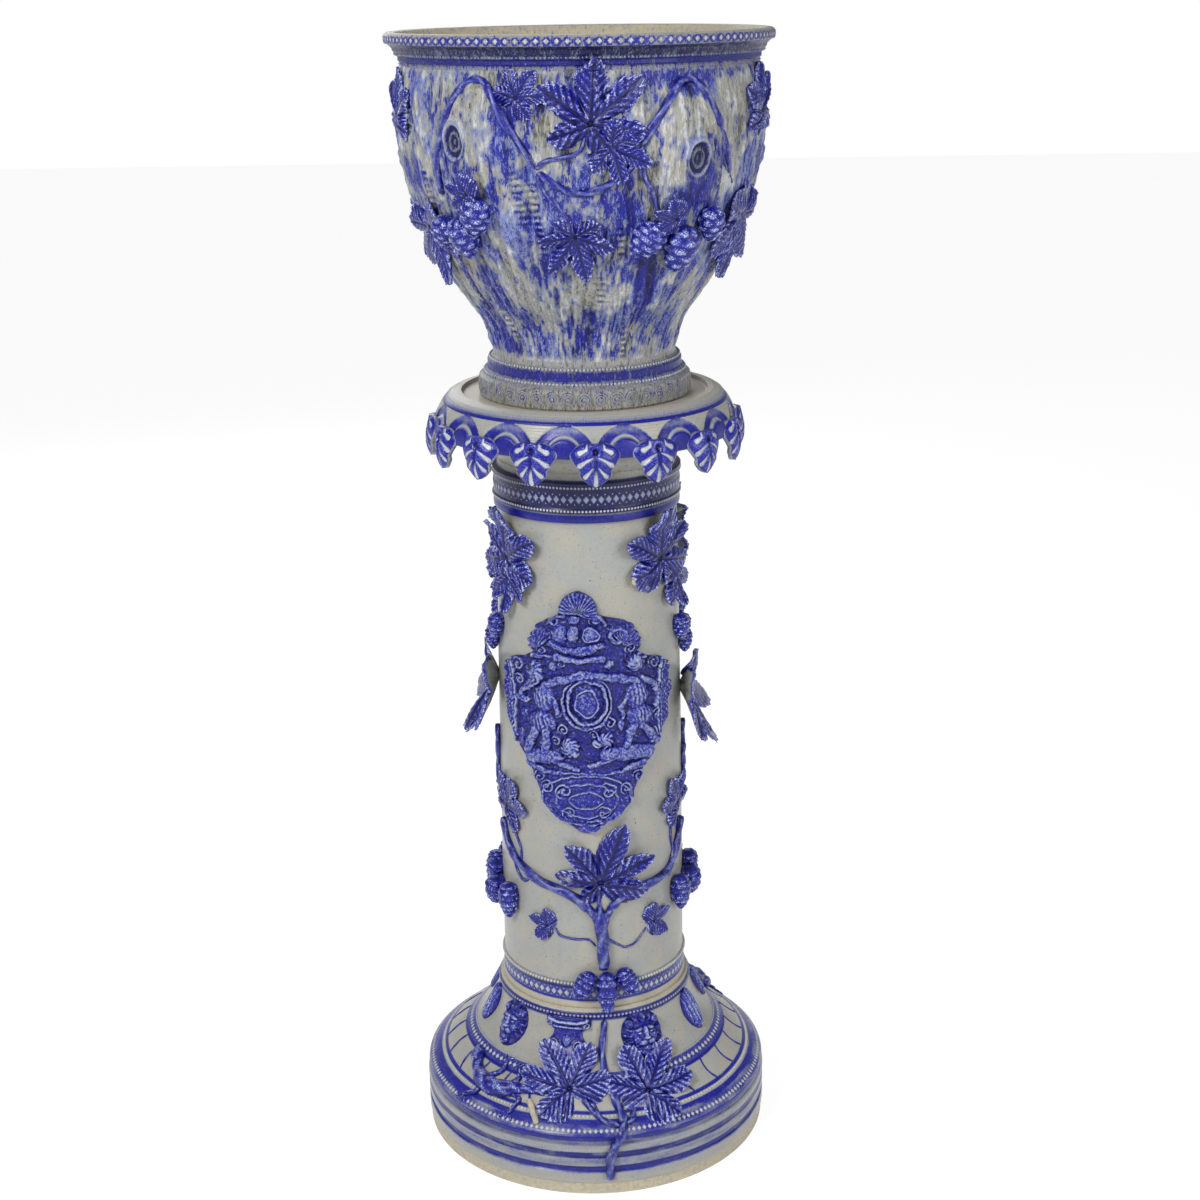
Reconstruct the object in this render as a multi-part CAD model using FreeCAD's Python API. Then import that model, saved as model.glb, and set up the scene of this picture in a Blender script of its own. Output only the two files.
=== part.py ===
"""Jardiniere on stand: a salt-glazed stoneware pot, on a column, on a round plinth.

Millimetres. +Z is up and the origin is the centre of the plinth's foot. The front faces -Y.
An azimuth is in degrees from the front, growing to the right (+X). The sprigs of leaves,
vines, hops and masks were moulded apart and pressed onto the wet walls, so each one sinks
SPRIG_SEAT into the wall that carries it. Every sprig of the front has a twin half a turn
round, and the two share a node.
"""
import FreeCAD, Part
import math
import os

from FreeCAD import Vector

# ---------------------------------------------------------------- driving dimensions

# plinth: a hollow drum with a bell-shaped slope above it
PLINTH_RADIUS = 189.0
PLINTH_FOOT_HEIGHT = 12.7        # unglazed foot band
PLINTH_WALL_TOP = 67.0
PLINTH_SLOPE = ((187.0, 70.0), (161.0, 90.0), (134.0, 113.0), (115.5, 134.0), (106.0, 157.0))
PLINTH_BEAD_HEIGHT = 164.0
PLINTH_TOP = 172.0
PLINTH_TOP_RADIUS = 103.5
PLINTH_WALL = 14.0
SPIGOT_HEIGHT = 22.0             # ring that centres the column
SPIGOT_WALL = 12.0
SPIGOT_CLEARANCE = 2.0

# column
COLUMN_TOP = 758.0
COLUMN_FOOT_RADIUS = 101.0
COLUMN_SHAFT = ((98.8, 204.0), (97.6, 430.0), (93.5, 706.0))
COLUMN_BORE = 84.0
COLUMN_HEAD_BORE = 79.0
COLUMN_NECK_RADIUS = 92.0
COLUMN_LOWER_BANDS = ((COLUMN_FOOT_RADIUS, PLINTH_TOP), (COLUMN_FOOT_RADIUS, 177.0), (99.5, 180.0),
                      (99.5, 194.0), (101.3, 197.0))
COLUMN_UPPER_BANDS = ((96.8, 709.0), (96.8, 716.0), (98.2, 721.0), (96.2, 726.0), (96.2, 740.0),
                      (98.4, 745.0), (97.6, 749.0))

# capital plate and the leaf skirt that hangs from its edge
PLATE_TOP = 828.0
PLATE_SEAT = 824.0               # the recess floor that the pot stands on
PLATE_SEAT_RADIUS = 124.0
PLATE_RIM_RADIUS = 131.0
PLATE_EDGE_RADIUS = 141.0
PLATE_EDGE_HEIGHT = 823.0
SKIRT_RADIUS = 157.0
SKIRT_LIP_HEIGHT = 787.0
SKIRT_WALL = 10.0
PLATE_WALL = 13.0
FLOOR_GRIP = 1.0                 # how far the floor slab is pressed into the ring

DROP_COUNT = 16
DROP_FIRST_AZIMUTH = 3.6
DROP_TOP = 806.0
DROP_TIP = 761.0
DROP_EDGE = 4.0                  # thickness at the edge
DROP_HALF_WIDTH = 27.0
DROP_DROOP = 2.5                 # how far its side lobes bend back
DROP_CROWN = 9.0                 # bulge of a hanging leaf's middle
DROP_HOOK = 8.0                  # how far it curls out from the skirt
# half of one hanging leaf: lobe tips and notches as (half width, share of the way down)
DROP_OUTLINE = ((8.0, 0.0), (15.0, 0.16), (17.0, 0.30), (27.0, 0.50), (24.0, 0.60), (15.5, 0.60),
                (19.0, 0.78), (15.5, 0.85), (8.0, 0.80), (6.5, 0.92))

# pot
POT_FOOT_RADIUS = 108.0
POT_FLOOR = 846.0                # inside
POT_RIM_TOP = 1179.0
POT_RIM_RADIUS = 191.0
POT_FOOT = ((POT_FOOT_RADIUS, PLATE_SEAT), (108.5, 845.0), (103.5, 849.0), (98.5, 852.5), (98.5, 859.5),
            (96.0, 862.5))
POT_BODY = ((92.5, 871.0), (97.5, 894.5), (110.0, 916.0), (137.5, 957.0), (160.0, 1003.0),
            (177.5, 1070.0), (175.0, 1148.0))
POT_RIM = ((175.0, 1155.0), (180.5, 1158.5), (183.0, 1163.0), (187.5, 1168.0), (POT_RIM_RADIUS, 1170.0),
           (POT_RIM_RADIUS, 1176.5), (187.0, POT_RIM_TOP), (180.0, 1178.0))
POT_INSIDE = ((175.0, 1172.0), (163.0, 1150.0), (166.0, 1098.0), (161.0, 1045.0), (146.0, 1000.0),
              (122.0, 957.0), (95.0, 916.0), (78.0, 884.0), (76.0, POT_FLOOR))

# sprigs
SPRIG_SEAT = 1.2                 # how far a sprig is pressed into its wall
LEAF_THICKNESS = 3.4
LEAF_CROWN = 5.8                 # height of a leaf's blades above the wall, halfway out
LEAF_JUNCTION = 3.6              # height of the hollow where its veins meet
LEAF_LOBES = ((0.0, 1.0), (50.0, 0.92), (104.0, 0.74))     # angle from the tip, share of size
LEAF_NOTCHES = ((25.0, 0.60), (77.0, 0.52), (134.0, 0.50))
LEAF_SHOULDER = 0.72             # how full a lobe is halfway from its notch to its tip
LEAF_STEM_NOTCH = 0.30
LEAF_INNER_RING = 0.48
LEAF_INNER_LIMIT = 0.8
CURLED_LIFT = 20.0               # above this the underside of a leaf is hollow too
VINE_SIDES = 5
CONE_SIDES = 6

# name: (azimuth, height, size, turn of the tip clockwise from up, lift of the tips off the wall)
POT_LEAVES = {
    "pot_centre_leaf": (3.0, 1101.0, 66.0, 18.0, 6.0),
    "pot_folded_leaf": (9.0, 1080.0, 34.0, 112.0, 9.0),
    "pot_small_leaf": (-18.5, 1124.0, 31.0, 35.0, 4.0),
    "pot_upper_left_leaf": (-73.0, 1103.0, 46.0, 8.0, 5.0),
    "pot_upper_right_leaf": (72.0, 1103.0, 48.0, -8.0, 5.0),
    "pot_lower_left_leaf": (-64.0, 1001.0, 56.0, 172.0, 13.0),
    "pot_lower_right_leaf": (69.0, 1006.0, 62.0, 186.0, 13.0),
    "pot_lower_centre_leaf": (-2.0, 1000.0, 44.0, 168.0, 8.0),
}
COLUMN_LEAVES = {
    "column_upper_left_leaf": (-55.0, 668.0, 54.0, 5.0, 6.0),
    "column_upper_right_leaf": (49.0, 672.0, 54.0, -6.0, 6.0),
    "column_side_left_leaf": (-57.0, 642.0, 36.0, 172.0, 7.0),
    "column_side_right_leaf": (66.0, 640.0, 38.0, 166.0, 7.0),
    "column_lower_left_leaf": (-63.0, 385.0, 42.0, 28.0, 7.0),
    "column_lower_right_leaf": (66.0, 384.0, 38.0, -28.0, 7.0),
    "column_centre_leaf": (5.0, 320.0, 66.0, 12.0, 8.0),
    "column_left_leaflet": (-29.0, 264.0, 19.0, -84.0, 3.0),
    "column_right_leaflet": (40.0, 262.0, 21.0, 76.0, 3.0),
}
# these stand at the very sides, so the front's pair is also the back's
CURLED_LEAVES = {
    "column_left_curled_leaf": (-88.0, 519.0, 62.0, 183.0, 30.0),
    "column_right_curled_leaf": (88.0, 503.0, 62.0, 177.0, 34.0),
}
PLINTH_LEAVES = {
    "plinth_left_leaf": (-10.5, 105.0, 56.0, -33.0, 7.0),
    "plinth_right_leaf": (20.5, 101.0, 54.0, 36.0, 7.0),
}

# name: cones as (azimuth, height of the stalk end, length, radius, turn clockwise from down)
HOP_CLUSTERS = {
    "pot_left_hops": ((-29.5, 1038.0, 34.0, 12.0, 20.0), (-38.5, 1022.0, 36.0, 12.0, 0.0),
                      (-47.5, 1016.0, 34.0, 12.0, 30.0)),
    "pot_right_hops": ((24.0, 1014.0, 36.0, 12.0, 25.0), (33.0, 1006.0, 36.0, 12.0, 0.0),
                       (42.0, 1020.0, 34.0, 12.0, -20.0)),
    "column_upper_hops": ((-69.0, 598.0, 30.0, 9.0, 8.0), (-81.0, 578.0, 27.0, 8.5, 0.0),
                          (69.0, 594.0, 30.0, 9.0, -8.0), (81.0, 572.0, 27.0, 8.5, 0.0)),
    "column_left_hops": ((-57.0, 292.0, 36.0, 10.5, 0.0), (-70.0, 298.0, 36.0, 10.5, 8.0),
                         (-82.5, 302.0, 34.0, 10.0, 12.0)),
    "column_right_hops": ((57.0, 300.0, 36.0, 10.5, -6.0), (69.5, 296.0, 38.0, 10.5, -8.0),
                          (82.0, 284.0, 38.0, 10.0, -8.0)),
    "column_front_hops": ((-1.0, 215.0, 32.0, 9.5, 22.0), (7.5, 216.0, 41.0, 10.0, 0.0),
                          (16.0, 216.0, 32.0, 9.5, -22.0)),
}

# name: (radius at the start, radius at the end, path of azimuths and heights)
POT_VINES = {
    "pot_left_vine": (4.0, 3.6, ((-48.5, 1035.0), (-47.5, 1069.0), (-41.5, 1106.0), (-36.0, 1132.0),
                                 (-31.0, 1140.0), (-26.5, 1130.0), (-21.0, 1101.0), (-13.0, 1062.0))),
    "pot_front_vine": (3.6, 3.0, ((-12.5, 1059.0), (-7.0, 1047.0), (-1.0, 1040.0), (6.0, 1044.0),
                                  (13.0, 1056.0), (18.0, 1074.0))),
    "pot_right_vine": (4.0, 3.6, ((18.0, 1081.0), (23.5, 1109.0), (28.5, 1130.0), (33.0, 1139.0),
                                  (37.5, 1129.0), (42.0, 1106.0), (47.5, 1082.0), (52.0, 1050.0))),
    "pot_stalks": (3.2, 2.4, ((18.0, 1081.0), (18.5, 1058.0), (21.0, 1042.0), (24.0, 1022.0))),
}
COLUMN_VINES = {
    "column_left_vine": (4.2, 5.2, ((-71.0, 366.0), (-64.0, 345.0), (-52.0, 328.0), (-33.0, 314.0),
                                    (-14.0, 305.0), (-3.0, 288.0))),
    "column_right_vine": (4.2, 5.2, ((72.0, 364.0), (65.0, 338.0), (53.0, 314.0), (36.0, 308.0),
                                     (21.0, 305.0), (12.0, 290.0))),
    "column_trunk": (7.5, 6.5, ((4.0, 292.0), (5.0, 268.0), (6.0, 240.0), (6.0, 218.0))),
    "column_left_side_vine": (3.6, 3.4, ((-88.0, 462.0), (-84.0, 445.0), (-86.0, 420.0), (-78.0, 400.0))),
    "column_right_side_vine": (3.6, 3.4, ((88.0, 438.0), (84.0, 424.0), (86.0, 408.0), (79.0, 396.0))),
}
PLINTH_VINES = {
    "plinth_trunk": (3.6, 5.0, ((6.0, 160.0), (3.7, 132.0), (4.5, 108.0), (7.5, 93.0), (9.4, 79.0),
                                (8.5, 70.0), (5.0, 50.0), (4.4, 18.0))),
    "plinth_left_branch": (3.4, 3.0, ((8.0, 75.0), (3.0, 79.0), (-1.0, 86.0), (-5.0, 94.0))),
    "plinth_right_branch": (3.4, 3.0, ((11.0, 76.0), (13.0, 80.0), (14.0, 87.0), (16.5, 91.0))),
}

# name: (azimuth, height, half width, half height, crown)
MASKS = {
    "plinth_left_shell_ornament": (-79.0, 139.0, 12.0, 22.0, 6.0),
    "plinth_left_mask": (-51.0, 141.0, 16.0, 22.0, 10.0),
    "plinth_strap_ornament": (-15.0, 143.0, 20.0, 20.0, 6.0),
    "plinth_lion_mask": (26.4, 142.0, 20.0, 22.0, 12.0),
    "plinth_right_shell_ornament": (66.0, 139.0, 13.0, 22.0, 6.0),
}

# tree stumps that swell out of the pot, with rounded tops
STUMP_TOP = 1139.0
STUMP_BOTTOM = 905.0
STUMP_HALF_WIDTH = 15.0          # degrees
STUMP_CROWN = 10.0
STUMPS = {"pot_left_stump": -31.5, "pot_right_stump": 33.0}
# share of the way down, share of the width, share of the crown
STUMP_ROWS = ((0.0, 0.10, 0.15), (0.035, 0.36, 0.60), (0.085, 0.56, 0.85), (0.15, 0.72, 0.95),
              (0.28, 0.95, 1.0), (0.45, 1.0, 1.0), (0.65, 0.92, 0.75), (0.83, 0.80, 0.45), (1.0, 0.60, 0.10))
STUMP_RING = 6

# raised shield panel on the column
PANEL_AZIMUTH = -2.5
PANEL_TOP = 638.0
PANEL_BOTTOM = 377.0
# outline of the panel: share of the way down, half width in degrees
PANEL_ROWS = ((0.0, 3.0), (0.04, 8.5), (0.08, 11.0), (0.11, 19.0), (0.14, 29.0), (0.20, 33.0),
              (0.27, 35.0), (0.305, 49.0), (0.36, 56.0), (0.47, 58.0), (0.58, 54.0), (0.68, 45.0),
              (0.76, 37.0), (0.80, 30.5), (0.86, 25.0), (0.935, 14.0), (0.97, 7.0), (1.0, 3.0))
PANEL_COLUMNS = 6
PANEL_CROWN = 5.0
SHIELD = (-0.7, 520.0, 19.0, 25.0, 13.0)       # azimuth, height, half width, half height, crown

# lizard: spine from nose to tail tip, and its legs
LIZARD_SPINE = ((-61.5, 106.0), (-58.5, 101.0), (-54.5, 95.0), (-48.5, 90.0), (-42.0, 88.0), (-35.0, 91.0),
                (-30.0, 94.0), (-25.0, 95.0), (-20.0, 94.0))
LIZARD_GIRTH = (2.6, 5.0, 4.6, 6.6, 7.2, 6.2, 4.2, 2.8, 1.6)
LIZARD_LEGS = (((-48.0, 92.0), (-42.5, 101.0), (-43.0, 109.0)), ((-51.0, 90.0), (-47.5, 82.0), (-52.0, 75.0)),
               ((-36.0, 90.0), (-29.5, 87.0), (-31.5, 76.0)))
LIZARD_LEG_RADIUS = 2.4

PARTS = "parts"


# ---------------------------------------------------------------- walls

def polar(radius, azimuth, height):
    """The point at a radius, azimuth and height; azimuth 0 is the front."""
    angle = math.radians(azimuth)
    return Vector(radius * math.sin(angle), -radius * math.cos(angle), height)


def section_point(radius, height):
    """A point of a profile, drawn in the XZ plane."""
    return Vector(radius, 0.0, height)


def lines(points):
    """Straight edges through profile points."""
    corners = [section_point(*point) for point in points]
    return [Part.LineSegment(a, b).toShape() for a, b in zip(corners, corners[1:])]


def arcs(points):
    """Arcs end to end, each from one even profile point over the next to the one after."""
    corners = [section_point(*point) for point in points]
    return [Part.Arc(*corners[start:start + 3]).toShape() for start in range(0, len(corners) - 2, 2)]


def revolve(edges):
    """The solid of revolution of a closed profile."""
    wire = Part.Wire(Part.__sortEdges__(edges))
    return Part.Face(wire).revolve(Vector(0, 0, 0), Vector(0, 0, 1), 360)


class Wall:
    """The outer meridian of a round wall, from its foot up, on which sprigs are laid."""

    def __init__(self, edges, spacing=3.0):
        points = []
        for edge in edges:
            points += [(p.x, p.z) for p in edge.discretize(Distance=spacing)]
        self.points = [points[0]]
        self.stations = [0.0]
        for point in points[1:]:
            step = math.dist(point, self.points[-1])
            if step > 0.01:
                self.points.append(point)
                self.stations.append(self.stations[-1] + step)

    def station(self, height):
        """Distance along the meridian at which it reaches a height."""
        for index in range(len(self.points) - 1):
            low, high = self.points[index][1], self.points[index + 1][1]
            if low <= height <= high and high > low:
                share = (height - low) / (high - low)
                start, end = self.stations[index], self.stations[index + 1]
                return start + share * (end - start)
        return self.stations[-1] if height > self.points[-1][1] else 0.0

    def meridian(self, station):
        """Radius, height and outward normal at a distance along the meridian."""
        station = min(max(station, 0.0), self.stations[-1])
        index = 0
        while index < len(self.stations) - 2 and self.stations[index + 1] < station:
            index += 1
        (r0, z0), (r1, z1) = self.points[index], self.points[index + 1]
        length = self.stations[index + 1] - self.stations[index]
        share = (station - self.stations[index]) / length
        normal = ((z1 - z0) / length, -(r1 - r0) / length)
        return r0 + share * (r1 - r0), z0 + share * (z1 - z0), normal

    def point(self, azimuth, station, lift):
        """The point that stands lift off the wall."""
        radius, height, normal = self.meridian(station)
        return polar(radius + lift * normal[0], azimuth, height + lift * normal[1])

    def offset(self, azimuth, height, across, up, lift):
        """The point reached from (azimuth, height) by going across and up the wall."""
        station = self.station(height)
        radius = self.meridian(station + up)[0]
        return self.point(azimuth + math.degrees(across / radius), station + up, lift)


# ---------------------------------------------------------------- faceted solids

def closed_solid(triangles):
    """The solid inside a closed skin of triangles."""
    faces = [Part.Face(Part.makePolygon([a, b, c, a])) for a, b, c in triangles]
    solid = Part.Solid(Part.Shell(faces))
    if solid.Volume < 0:
        solid.reverse()
    return solid


def fan(centre, ring):
    """Triangles from a centre to a closed ring."""
    return [(centre, a, b) for a, b in zip(ring, ring[1:] + ring[:1])]


def band(ring_a, ring_b):
    """Triangles between two closed rings of the same count."""
    triangles = []
    for i in range(len(ring_a)):
        j = (i + 1) % len(ring_a)
        triangles.append((ring_a[i], ring_b[i], ring_a[j]))
        triangles.append((ring_a[j], ring_b[i], ring_b[j]))
    return triangles


def widening_band(inner, outer):
    """Triangles between a ring and one with twice as many points."""
    triangles = []
    for i in range(len(inner)):
        j = (i + 1) % len(inner)
        left, middle, right = outer[2 * i], outer[2 * i + 1], outer[2 * j]
        triangles.append((inner[i], left, middle))
        triangles.append((inner[i], middle, inner[j]))
        triangles.append((inner[j], middle, right))
    return triangles


def stack(rings):
    """The solid of rings stacked from one end to the other, with flat fans as its ends."""
    triangles = fan(sum(rings[0], Vector()) / len(rings[0]), rings[0])
    for lower, upper in zip(rings, rings[1:]):
        triangles += band(lower, upper)
    triangles += fan(sum(rings[-1], Vector()) / len(rings[-1]), rings[-1])
    return closed_solid(triangles)


def with_twin(solids):
    """The solids and their copies half a turn round."""
    twins = []
    for solid in solids:
        twin = solid.copy()
        twin.rotate(Vector(0, 0, 0), Vector(0, 0, 1), 180)
        twins.append(twin)
    return Part.makeCompound(list(solids) + twins)


# ---------------------------------------------------------------- sprigs

def leaf_outline():
    """A five-lobed vine leaf, once round, as (angle from the tip, share of its size)."""
    stops = sorted(LEAF_LOBES + LEAF_NOTCHES)
    half = [stops[0]]
    for (angle, share), (next_angle, next_share) in zip(stops, stops[1:]):
        tip, notch = max(share, next_share), min(share, next_share)
        half.append((0.5 * (angle + next_angle), notch + LEAF_SHOULDER * (tip - notch)))
        half.append((next_angle, next_share))
    mirrored = [(360.0 - angle, share) for angle, share in reversed(half[1:])]
    return half + [(180.0, LEAF_STEM_NOTCH)] + mirrored


def leaf(wall, azimuth, height, size, turn, lift):
    """A vine leaf laid on the wall, crowned in the middle, with its lobe tips standing off."""
    top, bottom, middle, under = [], [], [], []
    for index, (angle, share) in enumerate(leaf_outline()):
        direction = math.radians(angle + turn)
        across, up = size * share * math.sin(direction), size * share * math.cos(direction)
        rise = lift * share ** 2 - SPRIG_SEAT
        bottom.append(wall.offset(azimuth, height, across, up, rise))
        top.append(wall.offset(azimuth, height, across, up, rise + LEAF_THICKNESS))
        if index % 2 == 0:
            inner = LEAF_INNER_RING * min(share, LEAF_INNER_LIMIT)
            across, up = size * inner * math.sin(direction), size * inner * math.cos(direction)
            rise = lift * inner ** 2 + LEAF_CROWN
            middle.append(wall.offset(azimuth, height, across, up, rise))
            under.append(wall.offset(azimuth, height, across, up, rise - LEAF_CROWN - SPRIG_SEAT))
    triangles = fan(wall.offset(azimuth, height, 0, 0, LEAF_JUNCTION), middle)
    triangles += widening_band(middle, top)
    triangles += band(top, bottom)
    if lift > CURLED_LIFT:
        triangles += widening_band(under, bottom)
        triangles += fan(wall.offset(azimuth, height, 0, 0, -SPRIG_SEAT), under)
    else:
        triangles += fan(wall.offset(azimuth, height, 0, 0, -SPRIG_SEAT), bottom)
    return closed_solid(triangles)


def hop_cone(wall, azimuth, height, length, radius, turn):
    """A hop cone hanging down the wall, fat below its stalk and pointed at its end."""
    direction = math.radians(180.0 + turn)
    rings = []
    for share, girth in ((0.0, 0.35), (0.22, 0.92), (0.45, 1.0), (0.78, 0.66), (1.0, 0.14)):
        along = share * length
        ring = []
        for side in range(CONE_SIDES):
            angle = 2 * math.pi * (side + 0.5) / CONE_SIDES
            sideways = radius * girth * math.cos(angle)
            rise = radius * girth * math.sin(angle) + radius * 0.8
            across = along * math.sin(direction) + sideways * math.cos(direction)
            up = along * math.cos(direction) - sideways * math.sin(direction)
            ring.append(wall.offset(azimuth, height, across, up, rise))
        rings.append(ring)
    return stack(rings)


def through(points, steps):
    """Points along a smooth path through the given ones, steps to a span."""
    padded = [points[0]] + list(points) + [points[-1]]
    path = []
    for a, b, c, d in zip(padded, padded[1:], padded[2:], padded[3:]):
        for step in range(steps):
            t = step / steps
            weights = (-0.5 * t + t * t - 0.5 * t ** 3, 1 - 2.5 * t * t + 1.5 * t ** 3,
                       0.5 * t + 2 * t * t - 1.5 * t ** 3, -0.5 * t * t + 0.5 * t ** 3)
            path.append(tuple(sum(w * p[axis] for w, p in zip(weights, (a, b, c, d))) for axis in (0, 1)))
    path.append(points[-1])
    return path


def vine(wall, start_radius, end_radius, points, steps=2):
    """A stem that creeps along the wall, half sunk in it, with a slow taper."""
    path = through(points, steps)
    radii = [start_radius + (end_radius - start_radius) * i / (len(path) - 1) for i in range(len(path))]
    return creeping_tube(wall, path, radii)


def creeping_tube(wall, path, radii):
    """A tube of given radii along azimuths and heights of the wall."""
    centres = [wall.point(azimuth, wall.station(height), 0.45 * radius)
               for (azimuth, height), radius in zip(path, radii)]
    rings = []
    for index, centre in enumerate(centres):
        ahead = centres[min(index + 1, len(centres) - 1)]
        behind = centres[max(index - 1, 0)]
        along = (ahead - behind).normalize()
        azimuth, station = path[index][0], wall.station(path[index][1])
        outward = wall.point(azimuth, station, 1.0) - wall.point(azimuth, station, 0.0)
        side = along.cross(outward).normalize()
        outward = side.cross(along).normalize()
        ring = []
        for corner in range(VINE_SIDES):
            angle = 2 * math.pi * (corner + 0.5) / VINE_SIDES
            sideways, rise = radii[index] * math.cos(angle), radii[index] * math.sin(angle)
            ring.append(centre + side * sideways + outward * rise)
        rings.append(ring)
    return stack(rings)


def boss(wall, azimuth, height, half_width, half_height, crown, sides=12):
    """A domed ornament, oval in outline."""
    rings = []
    for share, rise in ((1.0, -SPRIG_SEAT), (0.86, 0.62 * crown), (0.5, crown)):
        ring = []
        for side in range(sides):
            angle = 2 * math.pi * side / sides
            across, up = half_width * share * math.sin(angle), half_height * share * math.cos(angle)
            ring.append(wall.offset(azimuth, height, across, up, rise))
        rings.append(ring)
    return stack(rings)


def stump(wall, azimuth):
    """A swelling like a cut tree stump: a round top, then a rib that dies out towards the waist."""
    rings = []
    for down, width, crown in STUMP_ROWS:
        station = wall.station(STUMP_TOP + down * (STUMP_BOTTOM - STUMP_TOP))
        ring = []
        for corner in range(STUMP_RING + 1):
            angle = math.pi * corner / STUMP_RING
            rise = STUMP_CROWN * crown * math.sin(angle) ** 0.7 - SPRIG_SEAT
            ring.append(wall.point(azimuth + STUMP_HALF_WIDTH * width * math.cos(angle), station, rise))
        ring.append(wall.point(azimuth, station, -3.0 * SPRIG_SEAT))
        rings.append(ring)
    return stack(rings)


def shield_panel(wall):
    """A raised panel wrapped round the column: crest, wide scrolled middle and pendant below."""
    rings = []
    for down, half in PANEL_ROWS:
        station = wall.station(PANEL_TOP + down * (PANEL_BOTTOM - PANEL_TOP))
        shares = [2 * column / PANEL_COLUMNS - 1 for column in range(PANEL_COLUMNS + 1)]
        ring = [wall.point(PANEL_AZIMUTH - share * half, station, PANEL_CROWN * (1 - 0.6 * share ** 6))
                for share in shares]
        ring += [wall.point(PANEL_AZIMUTH - share * half, station, -SPRIG_SEAT)
                 for share in (1.0, 0.5, 0.0, -0.5, -1.0)]
        rings.append(ring)
    return stack(rings)


def lizard(wall):
    """A lizard lying on the slope: one tube for head, trunk and tail, and four legs."""
    body = creeping_tube(wall, LIZARD_SPINE, LIZARD_GIRTH)
    for leg in LIZARD_LEGS:
        body = body.fuse(creeping_tube(wall, leg, (LIZARD_LEG_RADIUS,) * len(leg)))
    return body


# ---------------------------------------------------------------- the three thrown pieces

def plinth():
    """The hollow drum and slope, with the spigot ring that centres the column."""
    foot_radius, groove_radius = PLINTH_RADIUS - 1.5, PLINTH_RADIUS - 2.0
    wall_bands = ((foot_radius, 0.0), (foot_radius, PLINTH_FOOT_HEIGHT), (PLINTH_RADIUS, 14.0),
                  (PLINTH_RADIUS, 25.0), (groove_radius, 27.0), (groove_radius, 32.0), (PLINTH_RADIUS, 34.0),
                  (PLINTH_RADIUS, 56.0), (groove_radius, 60.0), (PLINTH_RADIUS - 1.0, PLINTH_WALL_TOP),
                  PLINTH_SLOPE[0])
    spigot_radius = COLUMN_BORE - SPIGOT_CLEARANCE
    spigot_bore = spigot_radius - SPIGOT_WALL
    collar = (PLINTH_SLOPE[-1], (105.5, PLINTH_BEAD_HEIGHT - 3.0), (107.0, PLINTH_BEAD_HEIGHT),
              (105.5, PLINTH_BEAD_HEIGHT + 3.0), (PLINTH_TOP_RADIUS, PLINTH_TOP - 3.0),
              (PLINTH_TOP_RADIUS, PLINTH_TOP), (spigot_radius, PLINTH_TOP),
              (spigot_radius, PLINTH_TOP + SPIGOT_HEIGHT), (spigot_bore, PLINTH_TOP + SPIGOT_HEIGHT),
              (spigot_bore, PLINTH_TOP - PLINTH_WALL), (90.0, 150.0), (112.0, 116.0), (138.0, 90.0),
              (PLINTH_RADIUS - PLINTH_WALL, 56.0), (PLINTH_RADIUS - PLINTH_WALL, 0.0), wall_bands[0])
    return revolve(lines(wall_bands) + arcs(PLINTH_SLOPE) + lines(collar))


def column():
    """The hollow shaft with its foot bands and head bands."""
    outside = lines(COLUMN_LOWER_BANDS + COLUMN_SHAFT[:1]) + arcs(COLUMN_SHAFT)
    neck = ((COLUMN_NECK_RADIUS, 751.0), (COLUMN_NECK_RADIUS, COLUMN_TOP))
    head = COLUMN_SHAFT[-1:] + COLUMN_UPPER_BANDS + neck
    inside = (neck[1], (COLUMN_HEAD_BORE, COLUMN_TOP), (COLUMN_HEAD_BORE, 700.0),
              (COLUMN_BORE, 240.0), (COLUMN_BORE, PLINTH_TOP), COLUMN_LOWER_BANDS[0])
    return revolve(outside + lines(head) + lines(inside))


def plate_outside():
    """The top, edge and lip of the capital plate, from the recess outwards."""
    top = lines(((COLUMN_HEAD_BORE, PLATE_SEAT), (PLATE_SEAT_RADIUS, PLATE_SEAT),
                 (PLATE_SEAT_RADIUS + 2.0, PLATE_TOP),
                 (PLATE_RIM_RADIUS, PLATE_TOP), (PLATE_EDGE_RADIUS, PLATE_EDGE_HEIGHT)))
    lip = (SKIRT_RADIUS, SKIRT_LIP_HEIGHT + 2.0)
    bell = arcs(((PLATE_EDGE_RADIUS, PLATE_EDGE_HEIGHT), (152.5, 808.0), lip))
    return top + bell


def capital_plate():
    """The bell-shaped plate on the column: a ring with a recess for the pot on top."""
    under = lines(((SKIRT_RADIUS, SKIRT_LIP_HEIGHT + 2.0), (SKIRT_RADIUS - 3.0, SKIRT_LIP_HEIGHT),
                   (SKIRT_RADIUS - SKIRT_WALL, SKIRT_LIP_HEIGHT + 2.0), (118.0, 783.0), (99.0, 770.0),
                   (COLUMN_NECK_RADIUS, COLUMN_TOP), (COLUMN_HEAD_BORE, COLUMN_TOP),
                   (COLUMN_HEAD_BORE, PLATE_SEAT)))
    return revolve(plate_outside() + under)


def capital_floor():
    """The slab that closes the plate's ring, pressed into it while the clay was wet."""
    slab = Part.makeCylinder(COLUMN_HEAD_BORE + FLOOR_GRIP, PLATE_WALL)
    slab.translate(Vector(0.0, 0.0, PLATE_SEAT - PLATE_WALL))
    return slab


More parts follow.
